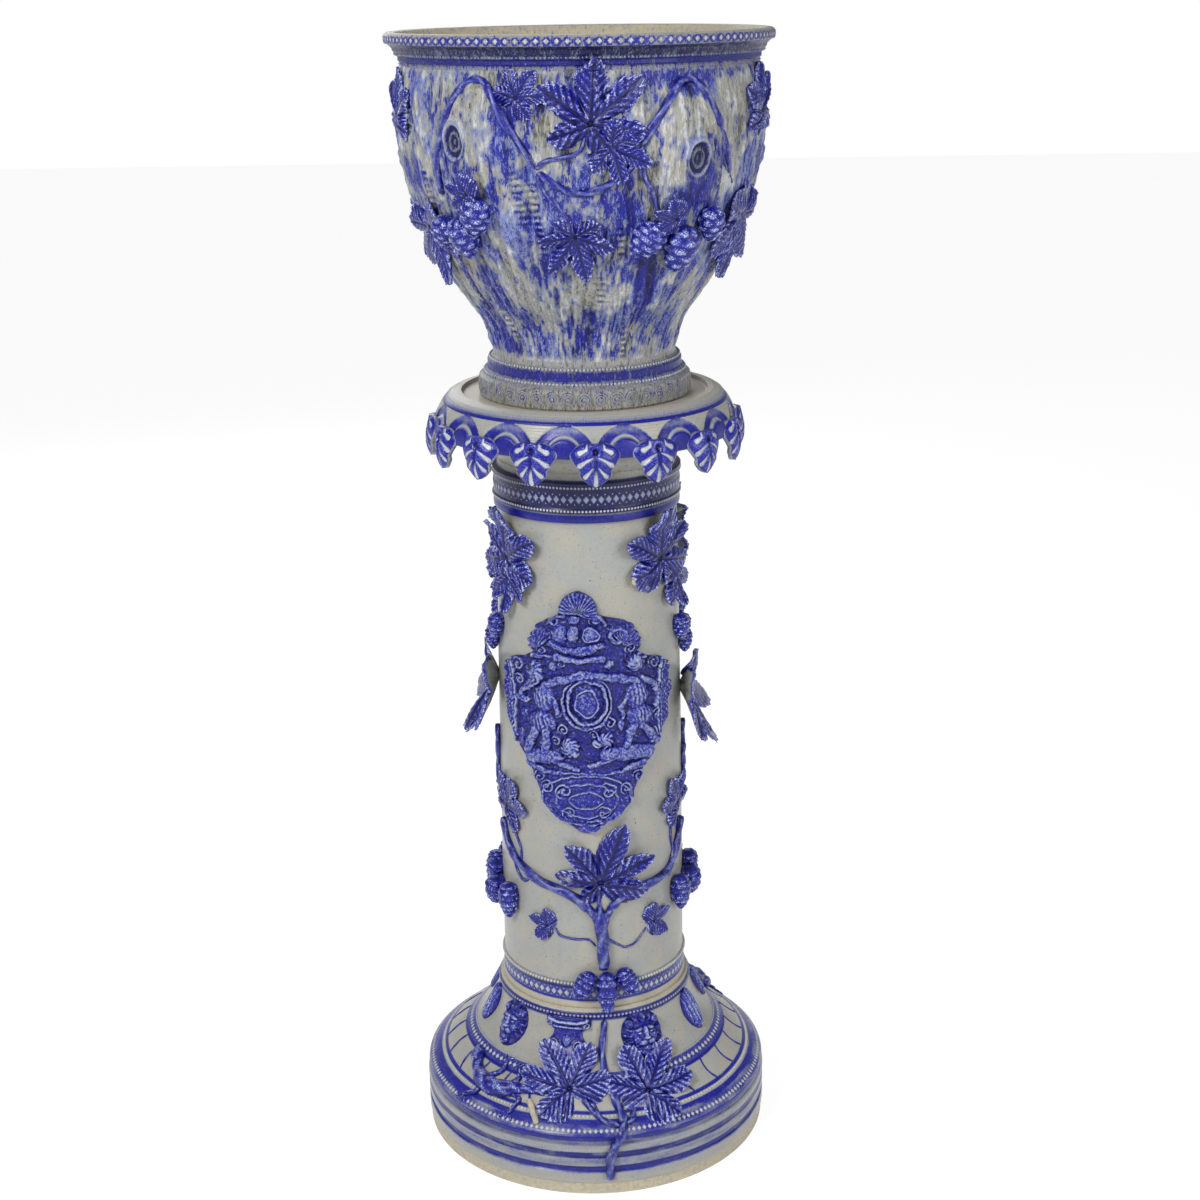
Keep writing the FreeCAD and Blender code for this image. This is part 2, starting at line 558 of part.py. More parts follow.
def hanging_leaf(azimuth):
    """One lobed leaf of the skirt: pressed on the lip, curling outwards and in again at its tip."""
    def reach(down):
        hook = DROP_HOOK * math.sin(0.5 * math.pi * min(1.0, 1.25 * down))
        return SKIRT_RADIUS - 4.5 + hook - 3.5 * down ** 3

    outline = list(DROP_OUTLINE) + [(0.0, 1.0)]
    outline += [(-width, down) for width, down in reversed(DROP_OUTLINE)] + [(0.0, 0.0)]
    back, front = [], []
    for width, down in outline:
        height = DROP_TOP + down * (DROP_TIP - DROP_TOP)
        turn = azimuth + math.degrees(width / SKIRT_RADIUS)
        radius = reach(down) - DROP_DROOP * (width / DROP_HALF_WIDTH) ** 2
        back.append(polar(radius, turn, height))
        front.append(polar(radius + DROP_EDGE, turn, height))
    middle = DROP_TOP + 0.5 * (DROP_TIP - DROP_TOP)
    crown = polar(reach(0.5) + DROP_CROWN, azimuth, middle)
    hollow = polar(reach(0.5), azimuth, middle)
    return closed_solid(fan(crown, front) + band(front, back) + fan(hollow, back))


def leaf_skirt():
    """The hanging leaves round the plate."""
    pitch = 360.0 / DROP_COUNT
    return Part.makeCompound([hanging_leaf(DROP_FIRST_AZIMUTH + pitch * i) for i in range(DROP_COUNT)])


def jardiniere():
    """The pot: foot, waist, swelling body, moulded rim, and the hollow inside."""
    outside = lines(POT_FOOT + POT_BODY[:1]) + arcs(POT_BODY) + lines(POT_BODY[-1:] + POT_RIM)
    floor = ((0.0, POT_FLOOR), (0.0, POT_FOOT[0][1]), POT_FOOT[0])
    inside = lines(POT_RIM[-1:] + POT_INSIDE + floor)
    return revolve(outside + inside)


# ---------------------------------------------------------------- assembly

def build():
    """Every node and its shape."""
    pot_wall = Wall(lines((POT_FOOT[-1], POT_BODY[0])) + arcs(POT_BODY) + lines((POT_BODY[-1], POT_RIM[0])))
    shaft_wall = Wall(lines((COLUMN_LOWER_BANDS[0], COLUMN_SHAFT[0])) + arcs(COLUMN_SHAFT)
                      + lines((COLUMN_SHAFT[-1], COLUMN_UPPER_BANDS[-1])))
    drum = ((PLINTH_RADIUS, 0.0), (PLINTH_RADIUS, PLINTH_WALL_TOP), PLINTH_SLOPE[0])
    collar = (PLINTH_SLOPE[-1], (PLINTH_TOP_RADIUS, PLINTH_TOP))
    plinth_wall = Wall(lines(drum) + arcs(PLINTH_SLOPE) + lines(collar))

    nodes = {"plinth": plinth(), "column": column(), "capital_plate": capital_plate(),
             "capital_floor": capital_floor(), "leaf_skirt": leaf_skirt(), "jardiniere": jardiniere()}
    for wall, leaves in ((pot_wall, POT_LEAVES), (shaft_wall, COLUMN_LEAVES), (plinth_wall, PLINTH_LEAVES)):
        for name, place in leaves.items():
            nodes[name] = with_twin([leaf(wall, *place)])
    for name, place in CURLED_LEAVES.items():
        nodes[name] = leaf(shaft_wall, *place)
    for name, cones in HOP_CLUSTERS.items():
        wall = pot_wall if name.startswith("pot") else shaft_wall
        nodes[name] = with_twin([hop_cone(wall, *cone) for cone in cones])
    for wall, vines in ((pot_wall, POT_VINES), (shaft_wall, COLUMN_VINES), (plinth_wall, PLINTH_VINES)):
        for name, (start, end, path) in vines.items():
            nodes[name] = with_twin([vine(wall, start, end, path)])
    for name, place in MASKS.items():
        nodes[name] = with_twin([boss(plinth_wall, *place)])
    nodes["plinth_lizard"] = with_twin([lizard(plinth_wall)])
    for name, azimuth in STUMPS.items():
        nodes[name] = with_twin([stump(pot_wall, azimuth)])
    nodes["shield_panel"] = with_twin([shield_panel(shaft_wall)])
    nodes["shield_boss"] = with_twin([boss(shaft_wall, *SHIELD)])
    return nodes


def main():
    os.makedirs(PARTS, exist_ok=True)
    for name, shape in build().items():
        shape.exportStep(f"{PARTS}/{name}.step")
        print(f"{name:26s} solids {len(shape.Solids):2d} valid {shape.isValid()} volume {shape.Volume:9.0f}")


main()
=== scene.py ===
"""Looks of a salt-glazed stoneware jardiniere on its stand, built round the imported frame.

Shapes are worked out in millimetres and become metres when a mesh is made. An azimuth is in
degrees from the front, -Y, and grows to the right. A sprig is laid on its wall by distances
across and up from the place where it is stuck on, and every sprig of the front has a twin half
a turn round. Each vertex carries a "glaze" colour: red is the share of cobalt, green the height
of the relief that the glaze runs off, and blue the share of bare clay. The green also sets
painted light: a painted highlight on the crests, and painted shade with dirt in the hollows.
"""

import math

import bpy
import numpy as np
from mathutils import Matrix, Vector


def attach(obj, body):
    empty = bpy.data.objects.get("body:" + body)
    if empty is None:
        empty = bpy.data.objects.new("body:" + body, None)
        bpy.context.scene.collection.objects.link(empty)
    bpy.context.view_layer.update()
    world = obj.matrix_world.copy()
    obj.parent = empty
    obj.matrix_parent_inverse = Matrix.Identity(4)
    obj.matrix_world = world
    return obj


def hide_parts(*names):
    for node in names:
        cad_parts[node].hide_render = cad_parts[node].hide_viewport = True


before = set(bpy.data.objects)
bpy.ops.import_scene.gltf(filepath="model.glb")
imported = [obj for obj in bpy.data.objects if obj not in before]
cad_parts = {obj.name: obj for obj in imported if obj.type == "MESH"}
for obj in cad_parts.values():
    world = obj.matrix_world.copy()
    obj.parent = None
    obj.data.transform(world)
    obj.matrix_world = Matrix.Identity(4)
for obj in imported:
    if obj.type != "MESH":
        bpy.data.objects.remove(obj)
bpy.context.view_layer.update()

MM = 0.001
DETAIL = 1.0

# ---------------------------------------------------------------- walls, as (radius, height)
PLINTH_DRUM = ((187.5, 0.0), (187.5, 12.7), (189.0, 14.0), (189.0, 25.0), (187.0, 27.0), (187.0, 32.0),
               (189.0, 34.0), (189.0, 43.0), (188.4, 44.5), (188.4, 49.5), (189.0, 51.0), (189.0, 56.0),
               (187.0, 60.0), (188.0, 67.0), (187.0, 70.0))
PLINTH_SLOPE = ((187.0, 70.0), (161.0, 90.0), (134.0, 113.0), (115.5, 134.0), (106.0, 157.0))
PLINTH_COLLAR = ((106.0, 157.0), (105.5, 161.0), (106.2, 164.0), (105.5, 167.0), (103.5, 169.0),
                 (103.5, 172.0), (82.0, 172.0), (82.0, 194.0), (70.0, 194.0), (70.0, 158.0), (90.0, 150.0),
                 (112.0, 116.0), (138.0, 90.0), (175.0, 56.0), (175.0, 0.0))
COLUMN_FOOT = ((101.0, 172.0), (101.0, 177.0), (99.5, 180.0), (99.5, 194.0), (100.3, 197.0), (98.8, 204.0))
COLUMN_SHAFT = ((98.8, 204.0), (97.6, 430.0), (93.5, 706.0))
COLUMN_HEAD = ((93.5, 706.0), (96.4, 709.0), (96.8, 712.5), (96.4, 716.0), (96.0, 718.5), (97.6, 721.0),
               (96.2, 723.5), (96.2, 742.0), (97.6, 745.0), (97.6, 749.0), (92.0, 751.0), (92.0, 758.0),
               (79.0, 758.0), (79.0, 700.0), (84.0, 240.0), (84.0, 172.0))
PLATE_TOP = ((0.0, 824.0), (124.0, 824.0), (126.0, 828.0), (131.0, 828.0), (137.0, 826.0), (141.0, 823.0))
PLATE_BELL = ((141.0, 823.0), (151.0, 808.0), (154.0, 789.0))
PLATE_UNDER = ((152.0, 787.0), (145.0, 789.0), (118.0, 783.0), (99.0, 770.0), (92.0, 758.0), (79.0, 758.0),
               (79.0, 798.0), (66.0, 811.0), (0.0, 811.0))
POT_FOOT = ((0.0, 824.0), (106.0, 824.0), (107.6, 826.0), (107.0, 844.0), (103.5, 846.5), (102.0, 849.0),
            (99.5, 851.5), (98.5, 853.0), (98.5, 859.5), (95.5, 862.5), (92.5, 866.0), (92.5, 871.0))
POT_BODY = ((92.5, 871.0), (97.5, 894.5), (110.0, 916.0), (137.5, 957.0), (160.0, 1003.0), (177.5, 1070.0),
            (175.0, 1148.0))
POT_RIM = ((175.0, 1148.0), (175.0, 1151.0), (176.5, 1152.5), (176.5, 1156.5), (179.5, 1157.5),
           (180.0, 1160.0), (181.5, 1162.0), (182.0, 1164.5), (186.5, 1168.0), (189.0, 1168.6),
           (189.6, 1170.0), (189.6, 1176.0), (187.0, 1178.6), (183.0, 1179.0), (180.0, 1178.0))
POT_INSIDE = ((180.0, 1178.0), (175.0, 1172.0), (163.0, 1150.0), (166.0, 1098.0), (161.0, 1045.0),
              (146.0, 1000.0), (122.0, 957.0), (95.0, 916.0), (78.0, 884.0), (76.0, 846.0), (0.0, 846.0))

# cobalt, relief and bare clay by height, for each wall's outside
PLINTH_GLAZE = ((0, 0, .5, 1), (12, 0, .5, 1), (13.5, .1, .5, .2), (24, .2, .5, 0), (25.8, .45, .4, 0),
                (26.6, 1, .4, 0), (32.5, 1, .4, 0), (33.4, .3, .4, 0), (43, .36, .4, 0), (44, .8, .3, 0),
                (49.5, .75, .3, 0), (51, .25, .5, 0), (57, .2, .4, 0), (59, .5, .2, 0), (62.6, .5, .3, 0),
                (63.4, 1, .4, 0), (67.6, 1, .4, 0), (68.4, .62, .5, 0), (76.6, .62, .5, 0), (77.2, 1, .5, 0),
                (80.0, 1, .5, 0), (80.4, .1, .5, 0), (83.2, .1, .5, 0), (83.8, 1, .5, 0), (85.4, 1, .5, 0),
                (86.4, 0, .6, .1), (102, 0, .6, .1), (103, .95, .4, 0), (104.4, .95, .4, 0),
                (104.9, .7, .5, 0), (112.4, .7, .5, 0), (113, .1, .4, 0), (117, .05, .5, 0),
                (158, .05, .5, 0), (160, .8, .3, 0), (167.5, .8, .3, 0), (168.6, 0, .5, .5), (172, 0, .4, .8))
COLUMN_GLAZE = ((172, 0, .5, .8), (177, 0, .5, .6), (178.6, .2, .4, .3), (179.6, .95, .4, 0),
                (181.5, .7, .5, 0), (193, .7, .5, 0), (194.5, .95, .3, 0), (195.6, .6, .2, 0), (200.6, .3, .2, 0),
                (203, .04, .5, 0), (707, .03, .5, 0), (708.2, .25, .5, 0), (709, 1, .4, 0), (716, 1, .4, 0),
                (716.8, .3, .2, 0), (719, .85, 0, 0), (726, .8, .1, 0), (740, .8, .1, 0), (748, .85, 0, 0),
               (750, .8, .15, 0),
                (752, .05, .4, .1), (758, 0, .4, .2))
PLATE_GLAZE = ((787, .9, .4, 0), (792, .9, .4, 0), (817, .0, .5, 0), (818.2, .95, .4, 0), (820.4, .95, .4, 0),
               (821.4, .45, .4, 0), (824, .3, .4, .1), (826, .1, .4, .2), (828, .05, .4, .3))
# the band under the lip, 1160 to 1168, has its relief set to nothing so it comes out dark: painted shade under the lip
POT_GLAZE = ((824, .05, .3, .1), (842, .1, .4, .1), (846, .2, .35, 0), (851, .35, .3, 0), (852.6, .9, .4, 0),
             (859.6, .9, .4, 0), (861, .3, .3, 0), (866, .1, .45, 0), (872, .1, .5, 0), (1145, .1, .5, 0),
             (1151.5, .5, .3, 0), (1152.4, 1, .4, 0), (1156.6, 1, .4, 0), (1157.6, .5, .3, 0),
             (1160, .5, .05, 0), (1161, .7, 0, 0), (1167.6, .7, 0, 0), (1169, .38, .45, 0),
             (1176, .32, .5, 0), (1177.5, .2, .5, .2), (1179, .02, .5, .4))

# ---------------------------------------------------------------- sprigs, as in the frame
# (azimuth, height, size, turn of the tip clockwise from up, lift of the tips off the wall)
POT_LEAVES = {
    "pot_centre_leaf": (3.0, 1101.0, 66.0, 4.0, 6.0),
    "pot_folded_leaf": (9.0, 1080.0, 36.0, 112.0, 9.0),
    "pot_small_leaf": (-18.5, 1124.0, 31.0, 35.0, 4.0),
    "pot_upper_left_leaf": (-73.0, 1103.0, 46.0, 8.0, 5.0),
    "pot_upper_right_leaf": (72.0, 1103.0, 48.0, -8.0, 5.0),
    "pot_lower_left_leaf": (-64.0, 1001.0, 56.0, 172.0, 13.0),
    "pot_lower_right_leaf": (69.0, 1006.0, 62.0, 186.0, 13.0),
    "pot_lower_centre_leaf": (-2.0, 1000.0, 44.0, 168.0, 8.0),
}
COLUMN_LEAVES = {
    "column_upper_left_leaf": (-58.0, 661.0, 60.0, 5.0, 18.0),
    "column_upper_right_leaf": (50.0, 661.0, 59.0, -6.0, 18.0),
    "column_side_left_leaf": (-57.0, 642.0, 37.0, 172.0, 13.0),
    "column_side_right_leaf": (66.0, 640.0, 39.0, 166.0, 13.0),
    "column_lower_left_leaf": (-63.0, 385.0, 42.0, 28.0, 7.0),
    "column_lower_right_leaf": (66.0, 384.0, 38.0, -28.0, 7.0),
    "column_centre_leaf": (5.0, 318.0, 71.0, 21.0, 9.0),
    "column_left_leaflet": (-29.0, 264.0, 22.0, -70.0, 4.0),
    "column_right_leaflet": (40.0, 262.0, 25.0, 66.0, 4.0),
}
CURLED_LEAVES = {
    "column_left_curled_leaf": (-86.0, 519.0, 64.0, 183.0, 38.0),
    "column_right_curled_leaf": (86.0, 503.0, 64.0, 177.0, 43.0),
}
PLINTH_LEAVES = {
    "plinth_left_leaf": (-10.5, 100.0, 60.0, -33.0, 8.0),
    "plinth_right_leaf": (21.0, 95.5, 60.0, 36.0, 8.0),
}
# cones as (azimuth, height of the stalk end, length, radius, turn clockwise from down)
HOP_CLUSTERS = {
    "pot_left_hops": ((-29.5, 1040.0, 38.0, 13.0, 20.0), (-38.5, 1022.0, 42.0, 13.0, 0.0),
                      (-47.5, 1016.0, 34.0, 12.0, 30.0)),
    "pot_right_hops": ((23.5, 1016.0, 40.0, 12.5, 25.0), (32.0, 1014.0, 48.0, 14.5, 0.0),
                       (41.0, 1026.0, 36.0, 12.5, -20.0)),
    "column_upper_hops": ((-69.0, 598.0, 30.0, 9.0, 8.0), (-81.0, 578.0, 27.0, 8.5, 0.0),
                          (69.0, 594.0, 30.0, 9.0, -8.0), (81.0, 572.0, 27.0, 8.5, 0.0)),
    "column_left_hops": ((-58.0, 300.0, 42.0, 11.0, 0.0), (-75.0, 293.0, 38.0, 12.5, 18.0),
                         (-84.0, 304.0, 26.0, 10.0, 25.0)),
    "column_right_hops": ((62.0, 303.0, 42.0, 11.0, -4.0), (78.0, 299.0, 38.0, 12.5, -18.0),
                          (86.0, 310.0, 26.0, 10.0, -25.0)),
    "column_front_hops": ((-1.0, 216.0, 38.0, 9.5, 30.0), (7.5, 216.0, 52.0, 10.5, 0.0),
                          (15.5, 217.0, 36.0, 9.5, -30.0)),
}
# (radius at the start, radius at the end, path of azimuths and heights)
POT_VINES = {
    "pot_left_vine": (4.0, 3.6, ((-48.5, 1035.0), (-47.5, 1069.0), (-41.5, 1106.0), (-36.0, 1132.0),
                                 (-31.0, 1140.0), (-26.5, 1130.0), (-21.0, 1101.0), (-13.0, 1062.0))),
    "pot_front_vine": (3.6, 3.0, ((-12.5, 1059.0), (-7.0, 1047.0), (-1.0, 1040.0), (6.0, 1044.0),
                                  (13.0, 1056.0), (18.0, 1074.0))),
    "pot_right_vine": (4.0, 3.6, ((18.0, 1081.0), (23.5, 1109.0), (28.5, 1130.0), (33.0, 1139.0),
                                  (37.5, 1129.0), (42.0, 1106.0), (47.5, 1082.0), (52.0, 1050.0))),
    "pot_stalks": (3.2, 2.4, ((18.0, 1081.0), (18.5, 1058.0), (21.0, 1042.0), (24.0, 1022.0))),
}
COLUMN_VINES = {
    "column_left_vine": (4.2, 5.2, ((-71.0, 366.0), (-64.0, 345.0), (-52.0, 328.0), (-33.0, 314.0),
                                    (-14.0, 305.0), (-3.0, 288.0))),
    "column_right_vine": (4.2, 5.2, ((72.0, 364.0), (65.0, 338.0), (53.0, 314.0), (36.0, 308.0),
                                     (21.0, 305.0), (12.0, 290.0))),
    "column_trunk": (7.5, 6.5, ((4.0, 292.0), (5.0, 268.0), (6.0, 240.0), (6.0, 218.0))),
    "column_left_side_vine": (3.6, 3.4, ((-88.0, 462.0), (-84.0, 445.0), (-86.0, 420.0), (-78.0, 400.0))),
    "column_right_side_vine": (3.6, 3.4, ((88.0, 438.0), (84.0, 424.0), (86.0, 408.0), (79.0, 396.0))),
}
PLINTH_VINES = {
    "plinth_trunk": (3.6, 5.0, ((6.0, 160.0), (3.7, 132.0), (4.5, 108.0), (7.5, 93.0), (9.4, 79.0),
                                (8.5, 70.0), (5.0, 50.0), (4.4, 18.0))),
    "plinth_left_branch": (3.4, 3.0, ((8.0, 75.0), (3.0, 79.0), (-1.0, 86.0), (-5.0, 94.0))),
    "plinth_right_branch": (3.4, 3.0, ((11.0, 76.0), (13.0, 80.0), (14.0, 87.0), (16.5, 91.0))),
}
# thin tendrils that the frame leaves out: piece, radius and path
TENDRILS = (
    ("pot_left_vine", 1.9, ((-43.5, 1112.0), (-42.5, 1075.0), (-40.0, 1052.0), (-36.0, 1036.0))),
    ("pot_left_vine", 2.6, ((-13.0, 1062.0), (-10.0, 1069.0), (-5.0, 1072.0), (0.0, 1078.0), (1.5, 1094.0))),
    ("pot_left_vine", 2.2, ((-12.5, 1059.0), (-11.5, 1044.0), (-7.5, 1030.0), (-4.0, 1014.0))),
    ("pot_right_vine", 2.2, ((46.0, 1088.0), (48.0, 1064.0), (54.0, 1044.0), (58.0, 1026.0))),
    ("column_left_vine", 2.0, ((-60.0, 372.0), (-54.0, 356.0), (-50.0, 345.0), (-49.0, 330.0))),
    ("column_left_vine", 2.2, ((-66.0, 350.0), (-58.0, 330.0), (-52.0, 312.0), (-46.0, 308.0), (-41.0, 316.0))),
    ("column_right_vine", 2.0, ((60.0, 372.0), (58.0, 350.0), (60.0, 330.0), (52.0, 314.0))),
    ("column_right_vine", 2.2, ((72.0, 352.0), (64.0, 330.0), (58.0, 312.0), (54.0, 306.0))),
    ("column_trunk", 1.5, ((-24.0, 262.0), (-20.0, 254.0), (-10.0, 252.0), (-3.0, 252.0), (1.5, 244.0))),
    ("column_trunk", 1.5, ((9.0, 252.0), (14.0, 246.0), (20.0, 240.0), (27.0, 243.0), (35.0, 257.0))),
    ("column_trunk", 5.0, ((-7.0, 298.0), (-3.0, 290.0), (1.5, 279.0), (4.0, 266.0), (5.0, 252.0))),
    ("column_trunk", 4.4, ((16.0, 297.0), (12.0, 290.0), (8.5, 279.0), (7.0, 266.0), (6.5, 250.0))),
    ("column_trunk", 2.6, ((3.0, 318.0), (3.5, 304.0), (4.0, 292.0), (4.5, 280.0))),
)
TRUNK_GIRTH = (3.0, 6.6, 6.4, 6.0)
# (azimuth, height, half width, half height, crown)
LION_MASKS = {"plinth_left_mask": (-51.0, 139.0, 20.0, 27.0, 11.0),
              "plinth_lion_mask": (27.0, 139.5, 24.0, 26.0, 13.0)}
FLUTED_SHELLS = {"plinth_left_shell_ornament": (-79.0, 138.0, 13.5, 24.0, 7.0),
                 "plinth_right_shell_ornament": (67.0, 138.0, 15.0, 25.0, 7.0)}
STRAP_ORNAMENT = (-15.0, 140.0, 24.5, 24.0, 7.0)
STUMPS = (-31.5, 33.0)
STUMP_TOP, STUMP_BOTTOM, STUMP_HALF_WIDTH, STUMP_CROWN = 1139.0, 905.0, 15.0, 10.0
STUMP_DOWN = (0.0, 0.035, 0.085, 0.15, 0.28, 0.45, 0.65, 0.83, 1.0)
STUMP_WIDTH = (0.10, 0.36, 0.56, 0.72, 0.95, 1.0, 0.92, 0.80, 0.60)
STUMP_RISE = (0.0, 0.60, 0.85, 0.95, 1.0, 1.0, 0.75, 0.45, 0.0)
KNOTS = ((-38.0, 1085.0, 12.0, 16.0), (35.5, 1068.0, 12.0, 16.0), (88.0, 1050.0, 10.0, 14.0))
LADDERS = ((-63.0, 1118.0, 1090.0), (-56.0, 1058.0, 1020.0), (-18.0, 1060.0, 1010.0), (-13.0, 1050.0, 980.0),
           (14.0, 1008.0, 975.0), (46.0, 1060.0, 1038.0), (24.0, 905.0, 870.0), (-42.0, 930.0, 890.0),
           (75.0, 960.0, 910.0), (8.0, 960.0, 930.0))
PANEL_AZIMUTH, PANEL_TOP, PANEL_BOTTOM = -2.5, 638.0, 377.0
PANEL_DOWN = (0.0, 0.008, 0.022, 0.042, 0.07, 0.095, 0.11, 0.14, 0.20, 0.27, 0.305, 0.36, 0.47, 0.58, 0.68, 0.76, 0.80, 0.86, 0.935,
              0.97, 1.0)
PANEL_HALF = (0.8, 4.2, 7.4, 9.8, 10.8, 11.0, 17.0, 28.0, 33.0, 33.0, 47.0, 56.0, 58.0, 54.0, 45.0, 35.5, 32.5, 29.0, 20.0,
              10.0, 4.0)
LIZARD_SPINE = ((-61.5, 106.0), (-58.5, 101.0), (-54.5, 95.0), (-48.5, 90.0), (-42.0, 88.0), (-35.0, 91.0),
                (-30.0, 94.0), (-25.0, 95.0), (-20.0, 94.0))
LIZARD_GIRTH = (4.2, 7.4, 6.0, 9.0, 9.8, 8.4, 5.8, 3.8, 1.8)
LIZARD_LEGS = (((-48.0, 92.0), (-42.5, 101.0), (-43.0, 109.0)), ((-51.0, 90.0), (-47.5, 82.0), (-52.0, 75.0)),
               ((-36.0, 90.0), (-29.5, 87.0), (-31.5, 76.0)), ((-37.0, 92.0), (-33.0, 101.0), (-36.0, 108.0)))

# marks of wear: where a leaf tip has lost its glaze, and the bare stub of a broken stem
CHIP = (24.5, 645.5)
BROKEN_STUB = ((-25.5, 88.5), (-22.4, 81.0), (-20.0, 74.0))

SEAT = 1.2                       # how far a sprig is pressed into its wall
LOBES = ((0.0, 1.0), (51.0, 0.92), (-51.0, 0.92), (106.0, 0.74), (-106.0, 0.74))
POINTED_LOBES = ((0.0, 1.0), (46.0, 0.98), (-58.0, 0.86), (96.0, 0.80), (-112.0, 0.62), (140.0, 0.55))
SPREAD_LOBES = ((0.0, 1.0), (44.0, 0.86), (-59.0, 0.80), (82.0, 0.74), (-101.0, 0.68), (-152.0, 0.42))
LEAFLET_LOBES = ((0.0, 1.0), (66.0, 0.92), (-66.0, 0.92))
DROP_COUNT, DROP_FIRST = 16, 3.6
GADROONS = 28
RIM_CROSSES = 126


# ---------------------------------------------------------------- numbers
def smooth(low, high, value):
    """0 below low, 1 above high and a smooth step between."""
    share = np.clip((value - low) / (high - low), 0.0, 1.0)
    return share * share * (3.0 - 2.0 * share)


def hump(distance, width):
    """A bell curve, 1 at no distance."""
    return np.exp(-(distance / width) ** 2)


def wrapped(degrees):
    """An angle brought to -180..180."""
    return (np.asarray(degrees) + 180.0) % 360.0 - 180.0


class Noise:
    """Gradient noise in three dimensions, about -1 to 1."""

    def __init__(self, seed):
        random = np.random.RandomState(seed)
        self.order = np.tile(random.permutation(256), 3)
        slopes = random.normal(size=(256, 3))
        self.slopes = slopes / np.linalg.norm(slopes, axis=1)[:, None]

    def __call__(self, x, y, z):
        place = np.stack(np.broadcast_arrays(x, y, z), -1).astype(float)
        cell = np.floor(place).astype(int)
        part = place - cell
        fade = part ** 3 * (part * (part * 6 - 15) + 10)
        total = 0.0
        for corner in np.ndindex(2, 2, 2):
            index = (cell + corner) % 256
            key = self.order[self.order[self.order[index[..., 0]] + index[..., 1]] + index[..., 2]]
            weight = np.prod(np.where(corner, fade, 1 - fade), axis=-1)
            total = total + weight * np.sum(self.slopes[key] * (part - corner), axis=-1)
        return 1.7 * total


def on_drum(noise, azimuth, height, across, up, radius=175.0):
    """Noise on a round wall, with cells of a width across and a height up."""
    angle = np.radians(azimuth)
    return noise(radius * np.sin(angle) / across + 0.37, radius * np.cos(angle) / across + 0.61, height / up + 0.23)


def polar(radius, azimuth, height):
    """Points from cylinder coordinates."""
    radius, azimuth, height = np.broadcast_arrays(radius, np.radians(azimuth), height)
    return np.stack([radius * np.sin(azimuth), -radius * np.cos(azimuth), height], -1)


# ---------------------------------------------------------------- profiles and walls
def arcs(points, steps=20):
    """Points along arcs end to end, each from one even point over the next to the one after."""
    path = []
    for start in range(0, len(points) - 2, 2):
        a, b, c = (complex(*p) for p in points[start:start + 3])
        w = (c - a) / (b - a)
        centre = (b - a) * (w - abs(w) ** 2) / (2j * w.imag) + a
        angles = np.unwrap([np.angle(p - centre) for p in (a, b, c)])
        turned = centre + abs(a - centre) * np.exp(1j * np.linspace(angles[0], angles[2], steps))
        path += [(p.real, p.imag) for p in (turned if start == 0 else turned[1:])]
    return path


def dense(points, step, hold=0.5):
    """The profile with extra points: one just beside each corner, and more along long stretches."""
    path = [points[0]]
    for (r0, z0), (r1, z1) in zip(points, points[1:]):
        length = math.hypot(r1 - r0, z1 - z0)
        if length < 1e-6:
            continue
        inner = length - 2 * hold
        count = max(int(math.ceil(inner / step)), 1)
        if hold == 0:
            shares = [i / count for i in range(1, count)]
        else:
            shares = [(hold + inner * i / count) / length for i in range(count + 1)] if inner > 0 else [0.5]
        path += [(r0 + s * (r1 - r0), z0 + s * (z1 - z0)) for s in shares] + [(r1, z1)]
    return path


class Wall:
    """The outer meridian of a round wall, from its foot up, on which sprigs are laid."""

    def __init__(self, profile, bulge=None):
        self.r, self.z = np.array(profile).T
        self.s = np.concatenate([[0.0], np.cumsum(np.hypot(np.diff(self.r), np.diff(self.z)))])
        slope_r, slope_z = np.gradient(self.r, self.s), np.gradient(self.z, self.s)
        length = np.hypot(slope_r, slope_z)
        self.nr, self.nz = slope_z / length, -slope_r / length
        self.bulge = bulge

    def place(self, azimuth, height, across, up, lift):
        """Points reached from (azimuth, height) by going across and up the wall and off it."""
        station = np.interp(height, self.z, self.s) + up
        radius, z = np.interp(station, self.s, self.r), np.interp(station, self.s, self.z)
        turn = azimuth + np.degrees(across / radius)
        if self.bulge is not None:
            lift = lift + self.bulge(turn, z)
        nr, nz = np.interp(station, self.s, self.nr), np.interp(station, self.s, self.nz)
        return polar(radius + lift * nr, turn, z + lift * nz)

    def spot(self, azimuth, height):
        """The wall seen from one place on it."""
        return lambda across, up, lift: self.place(azimuth, height, across, up, lift)


# ---------------------------------------------------------------- shapes: points, faces, glaze
def quads(rows, columns, around=False, closed=False, first=0):
    """Faces of a grid of points; around joins its last column to the first, closed its last row."""
    i, j = np.meshgrid(np.arange(rows if closed else rows - 1), np.arange(columns if around else columns - 1),
                       indexing="ij")
    down, right = (i + 1) % rows, (j + 1) % columns
    faces = np.stack([i * columns + j, i * columns + right, down * columns + right, down * columns + j], -1)
    return faces.reshape(-1, 4) + first


def fan(centre, ring):
    """Triangles from a centre to a closed ring of point numbers."""
    return np.stack([np.full(len(ring), centre), ring, np.roll(ring, -1)], -1)


def faced_out(points, faces):
    """The faces, turned round if the closed skin they make is inside out."""
    volume = 0.0
    for group in faces:
        corners = points[group]
        for k in range(1, group.shape[1] - 1):
            volume += np.sum(np.cross(corners[:, k], corners[:, k + 1]) * corners[:, 0])
    return faces if volume > 0 else [group[:, ::-1] for group in faces]


def shape(points, faces, glaze):
    return points, faced_out(points, faces), np.clip(glaze, 0.0, 1.0)


def glazes(cobalt, relief, bare=0.0):
    return np.stack(np.broadcast_arrays(cobalt, relief, bare), -1).astype(float)


def join(shapes):
    """Several shapes as one."""
    points, faces, glaze, count = [], [], [], 0
    for p, groups, g in shapes:
        points.append(p)
        glaze.append(g)
        faces += [group + count for group in groups]
        count += len(p)
    return np.concatenate(points), faces, np.concatenate(glaze)


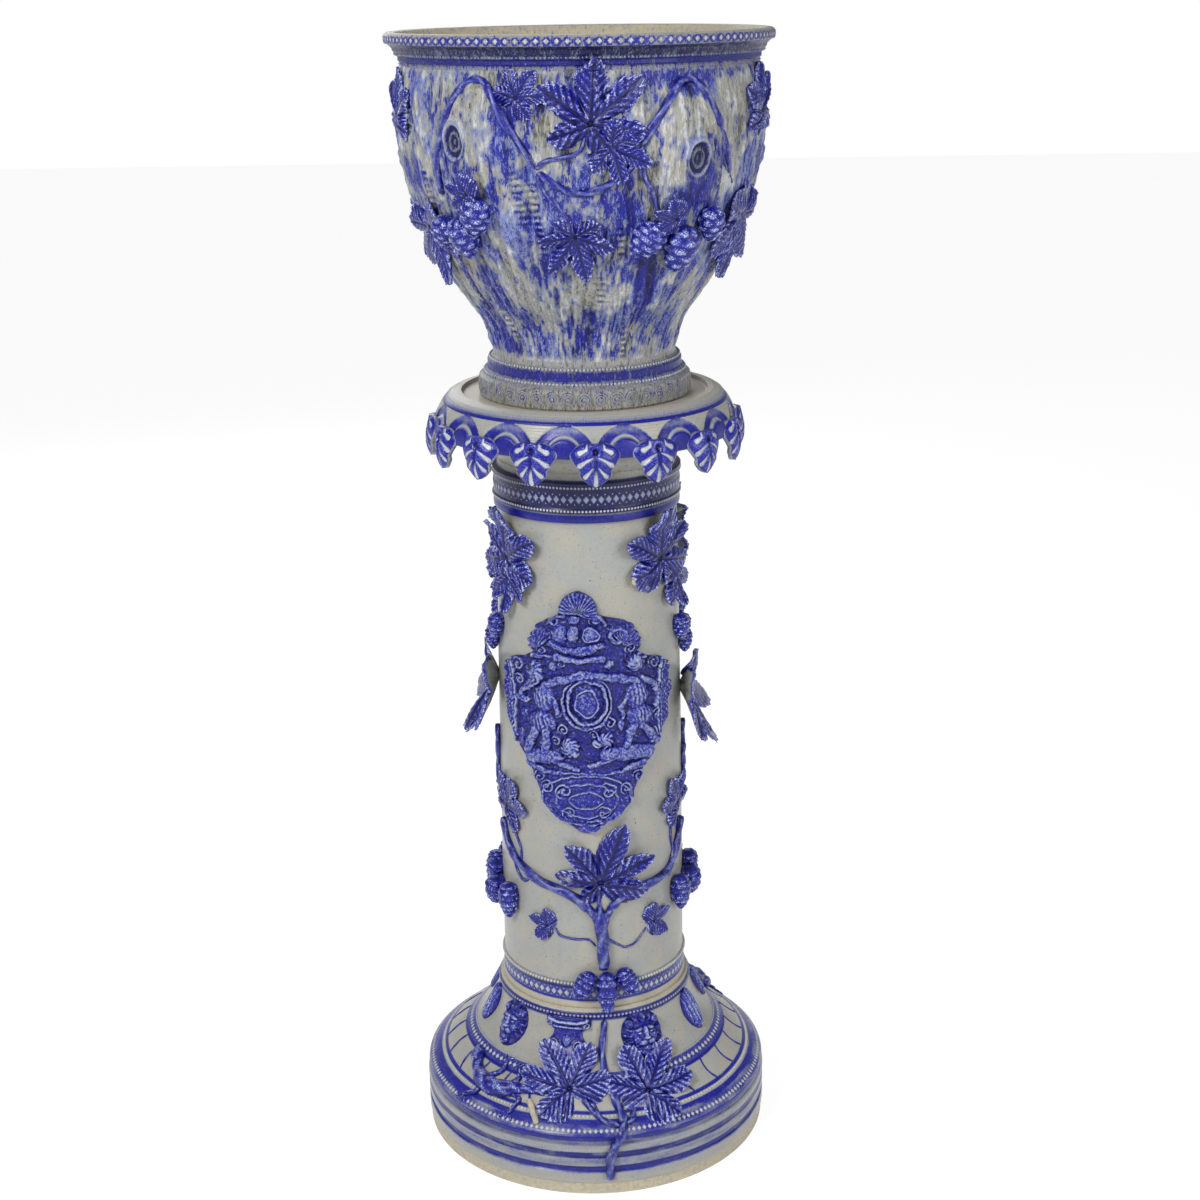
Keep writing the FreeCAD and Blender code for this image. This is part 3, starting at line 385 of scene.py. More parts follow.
def with_twin(one):
    """A shape and its copy half a turn round."""
    points, faces, glaze = one
    return join([one, (points * (-1.0, -1.0, 1.0), faces, glaze)])


def disc_shell(top, bottom, top_glaze, bottom_glaze):
    """A closed skin from rings of points, centre outwards, above and below."""
    rings, sides = top.shape[:2]
    low_rings = bottom.shape[0]
    points = np.concatenate([top.reshape(-1, 3), bottom.reshape(-1, 3), [top[0].mean(0), bottom[0].mean(0)]])
    first_low, centre = rings * sides, (rings + low_rings) * sides
    ring = np.arange(sides)
    edge = np.stack([ring + (rings - 1) * sides, ring + first_low + (low_rings - 1) * sides,
                     np.roll(ring, -1) + first_low + (low_rings - 1) * sides,
                     np.roll(ring, -1) + (rings - 1) * sides], -1)
    faces = [quads(rings, sides, around=True)[:, ::-1], quads(low_rings, sides, around=True, first=first_low),
             fan(centre, ring)[:, ::-1], fan(centre + 1, ring + first_low), edge]
    glaze = np.concatenate([top_glaze.reshape(-1, 3), bottom_glaze.reshape(-1, 3),
                            [top_glaze[0].mean(0), bottom_glaze[0].mean(0)]])
    return shape(points, faces[:1] + [f for f in faces[1:]], glaze)


def grid_shell(top, bottom, top_glaze, bottom_glaze):
    """A closed skin from two grids of points, one above the other."""
    rows, columns = top.shape[:2]
    count = rows * columns
    number = np.arange(count).reshape(rows, columns)
    edge = np.concatenate([number[0, :-1], number[:-1, -1], number[-1, :0:-1], number[:0:-1, 0]])
    rim = np.stack([edge, edge + count, np.roll(edge, -1) + count, np.roll(edge, -1)], -1)
    faces = [quads(rows, columns)[:, ::-1], quads(rows, columns, first=count), rim[:, ::-1]]
    points = np.concatenate([top.reshape(-1, 3), bottom.reshape(-1, 3)])
    glaze = np.concatenate([top_glaze.reshape(-1, 3), bottom_glaze.reshape(-1, 3)])
    return shape(points, faces, glaze)


def tube(rings, glaze):
    """Stacked rings of points, closed by fans at both ends."""
    count, sides = rings.shape[:2]
    points = np.concatenate([rings.reshape(-1, 3), [rings[0].mean(0), rings[-1].mean(0)]])
    ring = np.arange(sides)
    faces = [quads(count, sides, around=True), fan(count * sides, ring)[:, ::-1],
             fan(count * sides + 1, ring + (count - 1) * sides)]
    ends = [glaze[0].mean(0), glaze[-1].mean(0)]
    return shape(points, faces, np.concatenate([glaze.reshape(-1, 3), ends]))


def lathe(profile, sides, glaze, relief=None):
    """A profile turned round the axis. It closes on itself, or ends on the axis at both ends.

    relief gives how far the skin stands off the profile, for azimuths and the profile's points.
    """
    r, z = np.array(profile).T
    on_axis = r[0] < 1e-6
    if on_axis:
        r, z, glaze = r[1:-1], z[1:-1], glaze[1:-1]
    azimuth = np.arange(sides) * 360.0 / sides
    lift = np.zeros((len(r), sides)) if relief is None else relief(azimuth[None, :], r[:, None], z[:, None])
    slope_r, slope_z = np.gradient(r), np.gradient(z)
    length = np.maximum(np.hypot(slope_r, slope_z), 1e-9)
    nr, nz = (slope_z / length)[:, None], (-slope_r / length)[:, None]
    rings = polar(r[:, None] + lift * nr, azimuth[None, :], z[:, None] + lift * nz)
    colours = np.broadcast_to(glaze[:, None, :], (len(r), sides, 3))
    if on_axis:
        return tube(rings, colours)
    faces = [quads(len(r), sides, around=True, closed=True)]
    return shape(rings.reshape(-1, 3), faces, colours.reshape(-1, 3))


def banded(profile, knots, inside_from=None, inside=(0.0, 0.5, 0.6)):
    """Glaze of each profile point by its height; points from inside_from on have one glaze."""
    heights = [k[0] for k in knots]
    z = np.array(profile)[:, 1]
    glaze = np.stack([np.interp(z, heights, [k[c] for k in knots]) for c in (1, 2, 3)], -1)
    if inside_from is not None:
        glaze[inside_from:] = inside
    return glaze


# ---------------------------------------------------------------- beads and studs
def stud(half_width, half_height, rise, sides=8, rings=2, cobalt=(0.8, 0.1), sunk=0.5):
    """A small dome: its points are (across, up, out)."""
    tilt = np.linspace(0.0, 0.5 * np.pi, rings + 1)[:-1]
    turn = np.arange(sides) * 2 * np.pi / sides
    ring = np.stack([half_width * np.cos(tilt)[:, None] * np.sin(turn),
                     half_height * np.cos(tilt)[:, None] * np.cos(turn),
                     np.repeat(rise * np.sin(tilt)[:, None] - sunk, sides, 1)], -1)
    points = np.concatenate([ring.reshape(-1, 3), [(0.0, 0.0, rise - sunk)]])
    high = (points[:, 2] + sunk) / rise
    faces = [quads(rings, sides, around=True), fan(rings * sides, np.arange(sides) + (rings - 1) * sides)]
    return points, faces, glazes(cobalt[0] + (cobalt[1] - cobalt[0]) * smooth(0.0, 0.7, high), 0.3 + 0.7 * high)


def rosette(radius, rise, sides=14):
    """A round stud with rings pressed into it."""
    out = np.array([0.02, 0.16, 0.3, 0.44, 0.58, 0.72, 0.86, 1.0])
    high = np.array([1.0, 0.75, 0.35, 0.95, 0.35, 0.9, 0.4, 0.0])
    turn = np.arange(sides) * 2 * np.pi / sides
    ring = np.stack([radius * out[:, None] * np.sin(turn), radius * out[:, None] * np.cos(turn),
                     np.repeat(rise * high[:, None] - 0.3, sides, 1)], -1)
    points = np.concatenate([ring.reshape(-1, 3), [(0.0, 0.0, rise - 0.3)]])
    level = np.append(np.repeat(high, sides), 1.0)
    faces = [quads(len(out), sides, around=True), fan(len(out) * sides, np.arange(sides))]
    return points, faces, glazes(0.62 - 0.6 * level, 0.1 + 0.5 * level, 0.1)


def ring_of(one, count, radius, height, slope=0.0, start=0.0):
    """A stud repeated round a wall; slope is how far the wall faces up, in degrees."""
    points, faces, glaze = one
    across, up, out = points.T
    lean = math.radians(slope)
    r = radius + out * math.cos(lean) - up * math.sin(lean)
    z = height + out * math.sin(lean) + up * math.cos(lean)
    turns = start + np.arange(count) * 360.0 / count
    spread = turns[:, None] + np.degrees(across / radius)[None, :]
    all_points = polar(r[None, :], spread, z[None, :]).reshape(-1, 3)
    offsets = (np.arange(count) * len(points))[:, None, None]
    return all_points, [(f[None] + offsets).reshape(-1, f.shape[1]) for f in faces], np.tile(glaze, (count, 1))


# ---------------------------------------------------------------- sprigs
WRINKLES = Noise(7)


def leaf_edge(theta, lobes):
    """How far the edge is, as a share of size, and which lobe a direction belongs to."""
    ordered = sorted(lobes)
    best = np.zeros_like(theta)
    owner = np.zeros(len(theta), int)
    for index, (angle, share) in enumerate(ordered):
        gap = wrapped(theta - angle)
        reach = np.zeros_like(theta)
        for side in (1, -1):
            other, other_share = ordered[(index + side) % len(ordered)]
            half = 0.5 * (side * (other - angle) % 360.0)
            notch = 0.22 if half > 45.0 else 0.55 * min(share, other_share)
            t = np.clip(side * gap / half, 0.0, 1.0)
            teeth = 1.0 + 0.085 * (0.45 - (4.3 * t + 0.1) % 1.0) * smooth(0.02, 0.12, t)
            body = 0.83 * (1.0 - t ** 2.9) + 0.17 * (1.0 - t) ** 3 if lobes is LOBES else \
                0.7 * (1.0 - t ** 1.9) + 0.3 * (1.0 - t) ** 2
            mine = (notch + (share - notch) * body) * teeth
            reach = np.where((side * gap >= 0) & (side * gap <= half), mine, reach)
        owner = np.where(reach > best, index, owner)
        best = np.maximum(best, reach)
    return np.maximum(best, 0.18), np.array([a for a, _ in ordered])[owner]


def leaf(place, size, turn, lift, lobes=LOBES, seed=0.0, under_cobalt=0.05, wash=0.0):
    """A vine leaf: pleated lobes with sunk veins, toothed edge, and tips that stand off the wall."""
    sides = int((200 if size > 30 else 120) * DETAIL)
    rings = int((26 if size > 30 else 14) * DETAIL)
    theta = np.linspace(-180.0, 180.0, sides, endpoint=False)
    edge, axis = leaf_edge(theta, lobes)
    f = np.linspace(0.05, 1.0, rings)[:, None]
    direction = np.radians(theta + turn)

    def sway(share):
        """Slow folds of the whole leaf, the same above and below."""
        folds = WRINKLES(np.sin(direction) * 2.3 + seed, np.cos(direction) * 2.3, share * 1.3 + seed)
        fold = np.cos(np.radians(theta - axis) * 3.0)
        return 0.11 * size * share * folds + 0.05 * size * share ** 1.5 * (fold - 0.6)

    radius = size * f * edge
    swing = np.radians(wrapped(theta - axis))
    along, aside = radius * np.cos(swing), np.abs(radius * np.sin(swing))
    across, up = radius * np.sin(direction), radius * np.cos(direction)
    pitch = 0.105 * size + 0.8
    pleat = np.cos(2 * np.pi * (along - 1.1 * aside) / pitch + seed) * smooth(0.4, 2.6, aside)
    ribs = 1.0 - np.abs(pleat) * smooth(0.4, 2.0, aside)
    vein = hump(aside, 0.018 * size + 0.3)
    crown = 2.2 + 0.06 * size * np.sin(np.pi * f ** 0.8) * (1.0 - 0.5 * smooth(0.5, 1.0, f))
    bend = 1.3 if lift > 25 else 2.0
    hang = lift * (f * edge) ** bend
    valley = hump(np.abs(swing) - 0.5 * math.pi / len(lobes) * 2.0, 0.14) * smooth(0.15, 0.4, f)
    detail = (0.009 * size * pleat - 0.024 * size * vein - 0.03 * size * valley) * smooth(0.08, 0.3, f)
    # two pits at the sinuses of large leaves: a shallow dent with a raised rim, standing in for holes through the leaf
    hole = np.full_like(along, 99.0)
    if size > 40:
        for angle in (25.5, -78.5):
            aim, reach = math.radians(angle + turn), 0.5 * size
            hole = np.minimum(hole, np.hypot(across - reach * math.sin(aim), (up - reach * math.cos(aim)) / 1.5))
    detail = detail + 1.1 * hump(hole - 2.9, 0.9) - 2.4 * hump(hole, 1.7)
    rim = 0.7 * smooth(0.88, 1.0, f)
    top = place(across, up, np.maximum(hang + crown + sway(f) + detail - rim, 0.6))
    low = np.linspace(0.1, 1.0, 5)[:, None]
    low_radius = size * low * edge
    bottom = place(low_radius * np.sin(direction), low_radius * np.cos(direction),
                   lift * (low * edge) ** bend + np.maximum(sway(low), -SEAT) - SEAT)
    relief = 0.36 + 0.34 * pleat - 0.5 * vein - 0.3 * valley + 0.35 * smooth(0.88, 1.0, f) + 0.1 * ribs
    # the pit centres lose their relief so they paint dark: painted shade of a hole; their raised rims are paler
    relief = relief + wash + 0.6 * hump(hole - 2.9, 1.0) - 1.2 * hump(hole, 1.8)
    top_glaze = glazes(np.ones_like(relief), relief)
    bottom_glaze = glazes(np.broadcast_to(under_cobalt + 0.8 * smooth(0.8, 1.0, low), (5, sides)), 0.6)
    return disc_shell(top, bottom, top_glaze, bottom_glaze)


def hop_cone(place, length, radius, turn, berries=False):
    """A hop cone that hangs down the wall, covered in overlapping scales or in berries."""
    rows, sides = int(30 * DETAIL) + 6, int(26 * DETAIL) + 6
    share = np.linspace(0.004, 0.996, rows)[:, None]
    widest = 0.36 if berries else 0.3
    shoulder = np.sqrt(np.clip(1.0 - (1.0 - np.minimum(share / widest, 1.0)) ** 2, 0.0, 1.0))
    girth = shoulder * (1.0 - np.clip((share - widest) / (1.0 - widest), 0.0, 1.0) ** 2.0) ** 0.62
    angle = np.arange(sides)[None, :] * 2 * np.pi / sides
    count = 6.0 if berries else 7.0
    row = share * count
    shift = 0.5 * np.pi * (np.floor(row) % 2)
    local = row % 1.0
    lobe = np.abs(np.cos(angle * (3.0 if berries else 3.5) + shift)) ** 0.7
    bump = lobe * np.sin(np.pi * local) ** 0.6 if berries else lobe ** 0.5 * local ** 0.8
    scale = radius * girth * (0.88 + 0.23 * bump)
    sideways = scale * np.cos(angle)
    rise = scale * np.sin(angle) + radius * 0.72
    direction = math.radians(180.0 + turn)
    along = share * length
    across = along * math.sin(direction) + sideways * math.cos(direction)
    up = along * math.cos(direction) - sideways * math.sin(direction)
    high = 0.25 + 0.6 * bump
    return tube(place(across, up, rise), glazes(np.ones_like(high), high))


def through(points, steps):
    """Points along a smooth path through the given ones, steps to a span."""
    p = np.array([points[0], *points, points[-1]], float)
    t = (np.arange(steps) / steps)[:, None]
    path = [0.5 * (2 * b + (c - a) * t + (2 * a - 5 * b + 4 * c - d) * t ** 2 + (3 * b - a - 3 * c + d) * t ** 3)
            for a, b, c, d in zip(p, p[1:], p[2:], p[3:])]
    return np.concatenate(path + [p[-1:]])


def creeper(wall, path, radii, steps=8, sides=10, fluted=0.1, sunk=0.45, cobalt=0.68, seed=0.0):
    """A stem along azimuths and heights of a wall, with a fluted, uneven section."""
    line = through(path, steps)
    spread = through([(r, 0.0) for r in radii], steps)[:, 0] if len(radii) == len(path) else \
        np.linspace(radii[0], radii[-1], len(line))
    spread = spread * (1.0 + 0.1 * WRINKLES(np.arange(len(line)) * 0.37 + seed, seed, 0.5))
    place = np.arange(len(line))
    near = np.minimum(place, place[::-1]) / 2.0
    spread = spread * np.sqrt(1.0 - (1.0 - np.clip(near + 0.05, 0.0, 1.0)) ** 2)
    azimuth, height = line.T
    centre = wall.place(azimuth, height, 0.0, 0.0, sunk * spread)
    along = np.gradient(centre, axis=0)
    along /= np.linalg.norm(along, axis=1)[:, None]
    outward = wall.place(azimuth, height, 0.0, 0.0, sunk * spread + 1.0) - centre
    side = np.cross(along, outward)
    side /= np.linalg.norm(side, axis=1)[:, None]
    outward = np.cross(side, along)
    angle = np.arange(sides) * 2 * np.pi / sides
    twist = angle[None, :] + 0.25 * np.arange(len(line))[:, None] * 8 / steps
    girth = spread[:, None] * (1.0 + fluted * np.cos(3 * twist))
    rings = (centre[:, None] + side[:, None] * (girth * np.cos(angle))[..., None]
             + outward[:, None] * (girth * np.sin(angle))[..., None])
    mottle = WRINKLES(place[:, None] * 0.9, 1.4 * np.cos(angle)[None, :] + seed, 1.4 * np.sin(angle)[None, :])
    high = 0.34 + 0.24 * np.sin(angle)[None, :] + 0.22 * np.cos(3 * twist) + 0.22 * mottle
    return tube(rings, glazes(cobalt + 0.35 * (0.5 - high), high))


# ---------------------------------------------------------------- modelled relief
class Relief:
    """A height field over a patch of wall, raised by domes, bars, rings and fans, in millimetres."""

    def __init__(self, x, y, floor):
        self.x, self.y = np.broadcast_arrays(x, y)
        self.floor = np.broadcast_to(floor, self.x.shape).astype(float)
        self.height = self.floor.copy()

    def raised(self, height):
        self.height = np.maximum(self.height, np.where(height > 0, 0.7 * self.floor + height, -1e3))

    def dome(self, cx, cy, rx, ry, height, lean=0.0, power=0.5):
        c, s = math.cos(math.radians(lean)), math.sin(math.radians(lean))
        dx, dy = self.x - cx, self.y - cy
        apart = ((dx * c - dy * s) / rx) ** 2 + ((dx * s + dy * c) / ry) ** 2
        self.raised(height * np.clip(1.0 - apart, 0.0, 1.0) ** power)

    def bar(self, points, radius, height):
        for (x0, y0), (x1, y1) in zip(points, points[1:]):
            dx, dy = x1 - x0, y1 - y0
            t = np.clip(((self.x - x0) * dx + (self.y - y0) * dy) / (dx * dx + dy * dy), 0.0, 1.0)
            apart = np.hypot(self.x - x0 - t * dx, self.y - y0 - t * dy) / radius
            self.raised(height * np.sqrt(np.clip(1.0 - apart ** 2, 0.0, 1.0)))

    def ring(self, cx, cy, rx, ry, width, height):
        apart = np.hypot((self.x - cx) / rx, (self.y - cy) / ry)
        off = (apart - 1.0) * min(rx, ry) / width
        self.raised(height * np.sqrt(np.clip(1.0 - off ** 2, 0.0, 1.0)))

    def scroll(self, cx, cy, radius, height, turns=1.6, lean=0.0):
        apart = np.hypot(self.x - cx, self.y - cy)
        angle = np.arctan2(self.y - cy, self.x - cx) + lean
        coil = np.cos(2 * np.pi * turns * apart / radius - angle)
        self.raised(height * (0.62 + 0.38 * coil) * smooth(1.0, 0.86, apart / radius))

    def fan(self, cx, cy, radius, height, start, end, ribs):
        apart = np.hypot(self.x - cx, self.y - cy) / radius
        angle = np.degrees(np.arctan2(self.y - cy, self.x - cx))
        share = (angle - start) / (end - start)
        scallop = 1.0 - 0.12 * np.abs(np.sin(np.pi * ribs * share))
        inside = (share > 0) & (share < 1) & (apart < scallop)
        rib = 0.55 + 0.45 * np.abs(np.sin(np.pi * ribs * share)) ** 0.7
        self.raised(np.where(inside, height * rib * np.clip(1.15 - apart, 0.0, 1.0) ** 0.4, 0.0))

    def rough(self, amount, cell, seed=0.0):
        self.height = self.height + amount * WRINKLES(self.x / cell, self.y / cell, seed)

    def patch(self, spot, cobalt_low=1.0, cobalt_high=0.4, full=9.0):
        """The closed shape of this relief on a wall."""
        high = np.clip(self.height / full, 0.0, 1.0)
        near = 3 if self.height.shape[0] > 100 else 2
        fine = self.height - 0.25 * (np.roll(self.height, near, 0) + np.roll(self.height, -near, 0)
                                     + np.roll(self.height, near, 1) + np.roll(self.height, -near, 1))
        tone = 0.1 * WRINKLES(self.x / 6.0, self.y / 6.0, 41.0)
        relief = np.clip(0.28 + 0.46 * high + 0.22 * fine + tone, 0.0, 1.0)
        cobalt = cobalt_low + (cobalt_high - cobalt_low) * smooth(0.3, 0.95, relief)
        under = glazes(np.ones_like(high), 0.3)
        return grid_shell(spot(self.x, self.y, self.height), spot(self.x, self.y, np.full_like(high, -SEAT)),
                          glazes(cobalt, relief), under)


def oval_patch(half_width, half_height, crown, cells=46):
    """A relief inside an oval, squeezed from a square grid."""
    n = int(cells * DETAIL)
    u, v = np.meshgrid(np.linspace(-1, 1, n), np.linspace(-1, 1, n))
    x, y = u * np.sqrt(1 - 0.5 * v * v), v * np.sqrt(1 - 0.5 * u * u)
    floor = crown * np.clip(1.0 - x * x - y * y, 0.0, 1.0) ** 0.5
    return Relief(half_width * x, half_height * y, floor)


def lion_mask(spot, half_width, half_height, crown):
    """A lion's face in a mane of tufts."""
    r = oval_patch(half_width, half_height, 0.45 * crown, 64)
    w, h = half_width / 20.0, half_height / 22.0
    angle = np.arctan2(r.y, r.x)
    apart = np.hypot(r.x / half_width, r.y / half_height)
    locks = np.cos(15 * angle + 5 * apart) * smooth(0.45, 0.7, apart) * smooth(1.0, 0.9, apart)
    r.height = r.height + 1.5 * locks + 1.0 * np.cos(9 * angle - 9 * apart) * hump(apart - 0.72, 0.2)
    top = 0.55 * crown
    r.dome(0, -1 * h, 12 * w, 14 * h, top * 0.8)
    for side in (-1, 1):
        r.dome(side * 12 * w, 12 * h, 4 * w, 4.5 * h, top)
        r.dome(side * 5 * w, 5.5 * h, 4.6 * w, 2.4 * h, top * 1.25, lean=side * 18)
        r.dome(side * 5.2 * w, 1.6 * h, 2.4 * w, 1.7 * h, top * 1.15)
        r.dome(side * 7.4 * w, -4 * h, 4.2 * w, 5.0 * h, top * 1.0)
        r.dome(side * 3.6 * w, -8 * h, 4.4 * w, 3.6 * h, top * 1.45)
    r.bar(((0, 6 * h), (0, -3 * h)), 2.6 * w, top * 1.5)
    r.dome(0, -4.4 * h, 3.8 * w, 2.4 * h, top * 1.8)
    r.dome(0, -14.5 * h, 4.4 * w, 3.4 * h, top * 1.0)
    r.bar(((-5 * w, -17 * h), (0, -20 * h), (5 * w, -17 * h)), 2.0 * w, top * 0.8)
    r.rough(0.35, 1.6)
    return r.patch(spot, 1.0, 0.62, 1.25 * crown)


def fluted_shell(spot, half_width, half_height, crown):
    """A long shell with flutes that spread from its rounded foot."""
    r = oval_patch(half_width, half_height, crown, 44)
    t = r.x / half_width
    r.height = r.height + 0.9 * np.cos(5.5 * np.pi * t) * smooth(1.0, 0.8, np.abs(r.y / half_height))
    r.bar(((-0.55 * half_width, -0.62 * half_height), (0.0, -0.86 * half_height),
           (0.55 * half_width, -0.62 * half_height)), 2.6, 0.35 * crown)
    return r.patch(spot, 1.0, 0.75, crown)


def strap_ornament(spot, half_width, half_height, crown):
    """A strapwork bracket: a bowed bar with rolled ends over a waisted body."""
    rows, columns = int(54 * DETAIL), int(50 * DETAIL)
    down = np.linspace(0.0, 1.0, rows)[:, None]
    t = np.linspace(-1.0, 1.0, columns)[None, :]
    half = half_width * np.interp(down, (0, .06, .2, .27, .34, .46, .62, .78, .9, 1),
                                  (.9, 1, 1, .8, .62, .66, .9, .95, .7, .3))
    y = half_height * (1.0 - 2.0 * down) + 0.0 * t
    r = Relief(half * t, y, 0.55 * crown * (1.0 - 0.5 * np.abs(t) ** 6))
    w = half_width
    r.bar(((-0.8 * w, 0.86 * w), (-0.4 * w, 0.74 * w), (0.4 * w, 0.74 * w), (0.8 * w, 0.86 * w)), 2.6, crown * 0.9)
    r.bar(((-0.7 * w, 0.5 * w), (0.7 * w, 0.5 * w)), 2.0, crown * 0.6)
    for side in (-1, 1):
        r.scroll(side * 0.78 * w, 0.62 * w, 4.2, crown * 0.8, lean=side)
        r.scroll(side * 0.55 * w, -0.3 * w, 6.0, crown * 0.7, lean=-side)
    r.dome(0, -0.1 * w, 5.0, 7.0, crown * 0.7)
    r.rough(0.3, 2.0)
    return r.patch(spot, 1.0, 0.6, 1.4 * crown)


# the panel's figures as domes, bars, rings, scrolls and fans: x, y from the foot of its middle
PANEL_DOMES = (
    (-24, 216, 10, 10, 7.5), (6, 216, 10.5, 10, 7.5), (-10.5, 217, 4.6, 10, 8.2), (-10, 231, 6.5, 5, 6),
    (-32, 181, 4.5, 5.5, 5), (24, 183, 5.5, 5.5, 5), (1.8, 143, 15.5, 19.5, 5.0), (-50, 170, 8.6, 10.5, 8.0),
    (-52, 181, 6.5, 4, 5.5), (-42, 146, 11, 16, 7.6), (-62, 155, 5.5, 7, 5), (-44, 120, 15.5, 12.5, 6.8),
    (-66, 125, 6, 5.5, 4.4), (-26, 128, 4.5, 4, 4), (52, 182, 8.8, 9.8, 8.0), (59, 186, 6, 8, 5),
    (54, 148, 12.5, 16.5, 7.4), (57, 124, 15.5, 12.5, 6.8), (36, 117, 4.5, 7, 5), (44, 104, 4.5, 8, 4.5),
    (-57, 78, 9, 9, 7.5), (-15, 94, 10, 11, 8), (-11, 88, 5, 4.5, 9), (66, 82, 9.5, 10, 7),
    (19, 102, 9.5, 9, 8), (11, 99, 5, 4, 9), (-72, 96, 4.5, 10, 3.6), (80, 110, 6, 8, 3.6),
    (-20, 54, 6, 5, 3.6), (12, 57, 6, 5, 3.6), (34, 48, 6, 5, 3.6), (-6, 40, 6, 5, 3.6), (16, 38, 6, 5, 3.6),
    (-32, 42, 6, 5, 3.6), (2, 22, 8, 6, 3.4), (0, 5, 11, 7, 5.0))
PANEL_BARS = (
    (2.6, 4.4, ((-55, 189), (-28, 191), (0, 190), (18, 190))), (4.0, 6.0, ((-28, 190.5), (-8, 188.5), (18, 190))),
    (4.6, 5.4, ((-33, 205), (-22, 200), (-10, 198.5), (4, 199), (16, 205))),
    (5.2, 6.2, ((-42, 158), (-28, 165), (-10, 171), (2, 173), (15, 171), (35, 168), (52, 162))),
    (3.6, 6.0, ((-50, 162), (-64, 152), (-74, 142), (-62, 140))), (3.2, 5.0, ((-36, 152), (-30, 140), (-27, 130))),
    (2.2, 5.4, ((-87, 158), (-82, 130), (-76, 98))), (5.2, 6.4, ((-52, 110), (-58, 98), (-62, 86))),
    (5.0, 6.4, ((-41, 110), (-40, 98), (-42, 86))), (4.2, 6.0, ((60, 164), (74, 154), (80, 142), (76, 132))),
    (5.2, 6.4, ((58, 114), (67, 104), (76, 92))), (5.0, 6.4, ((49, 114), (44, 104), (42, 94))),
    (3.2, 4.8, ((44, 148), (36, 136), (38, 126))), (8.0, 6.8, ((-56, 80), (-30, 82))),
    (8.6, 7.0, ((22, 86), (62, 84))), (3.2, 6.0, ((-60, 72), (-44, 66))), (3.2, 6.0, ((-26, 76), (-8, 71))),
    (3.2, 6.0, ((22, 80), (4, 74))), (3.2, 6.0, ((62, 74), (40, 68))), (2.2, 5.4, ((70, 92), (78, 98), (74, 106))),
    (2.6, 4.6, ((-66, 70), (-40, 65), (-10, 66), (20, 64), (48, 68), (70, 71))),
    (2.4, 5.0, ((-12, 248), (-6, 250), (0, 247), (4, 240), (10, 236), (18, 232), (20, 226))),
    (2.4, 5.0, ((-16, 243), (-20, 236), (-30, 232), (-36, 226))),
    (3.0, 4.4, ((-66, 60), (-54, 38), (-36, 20), (-16, 12))), (3.0, 4.4, ((64, 60), (54, 38), (38, 22), (20, 14))),
    (2.4, 4.2, ((-24, 14), (-8, 8), (6, 2), (18, 8))))
PANEL_RINGS = ((1.8, 143, 19.5, 23.5, 2.2, 5.2), (1.8, 142, 24.5, 28.0, 1.8, 4.2), (34, 213, 7.5, 7.5, 2.6, 5.4),
               (7, 8, 8, 6.5, 2.0, 5.0), (6, 216, 7.4, 7.0, 1.0, 8.0), (1.8, 143, 11, 14, 1.4, 5.6))
PANEL_SCROLLS = (
    (12, 233, 8, 5.0), (-30, 228, 7, 4.6), (-22, 113, 7, 4.4), (24, 120, 7, 4.0), (-24, 184, 6, 3.6),
    (-74, 176, 9, 4.4), (74, 178, 8, 4.2), (-72, 160, 7, 4.2), (78, 120, 8, 4.0), (-30, 100, 5, 3.6),
    (-50, 58, 8, 3.6), (54, 58, 8, 3.6), (-40, 28, 7, 3.4), (42, 32, 7, 3.4), (-4, 60, 6, 3.2), (30, 62, 6, 3.2),
    (-18, 26, 7, 3.4), (22, 24, 7, 3.4), (0, 118, 6, 4.0), (8, 108, 5, 3.6), (46, 198, 6, 4.0), (-44, 196, 6, 4.0))
PANEL_FANS = ((-50, 198, 24, 5.0, 35, 190, 11), (38, 203, 24, 5.0, -15, 130, 11),
              (-88, 176, 14, 4.2, 20, 190, 7), (90, 172, 14, 4.2, -10, 160, 7))


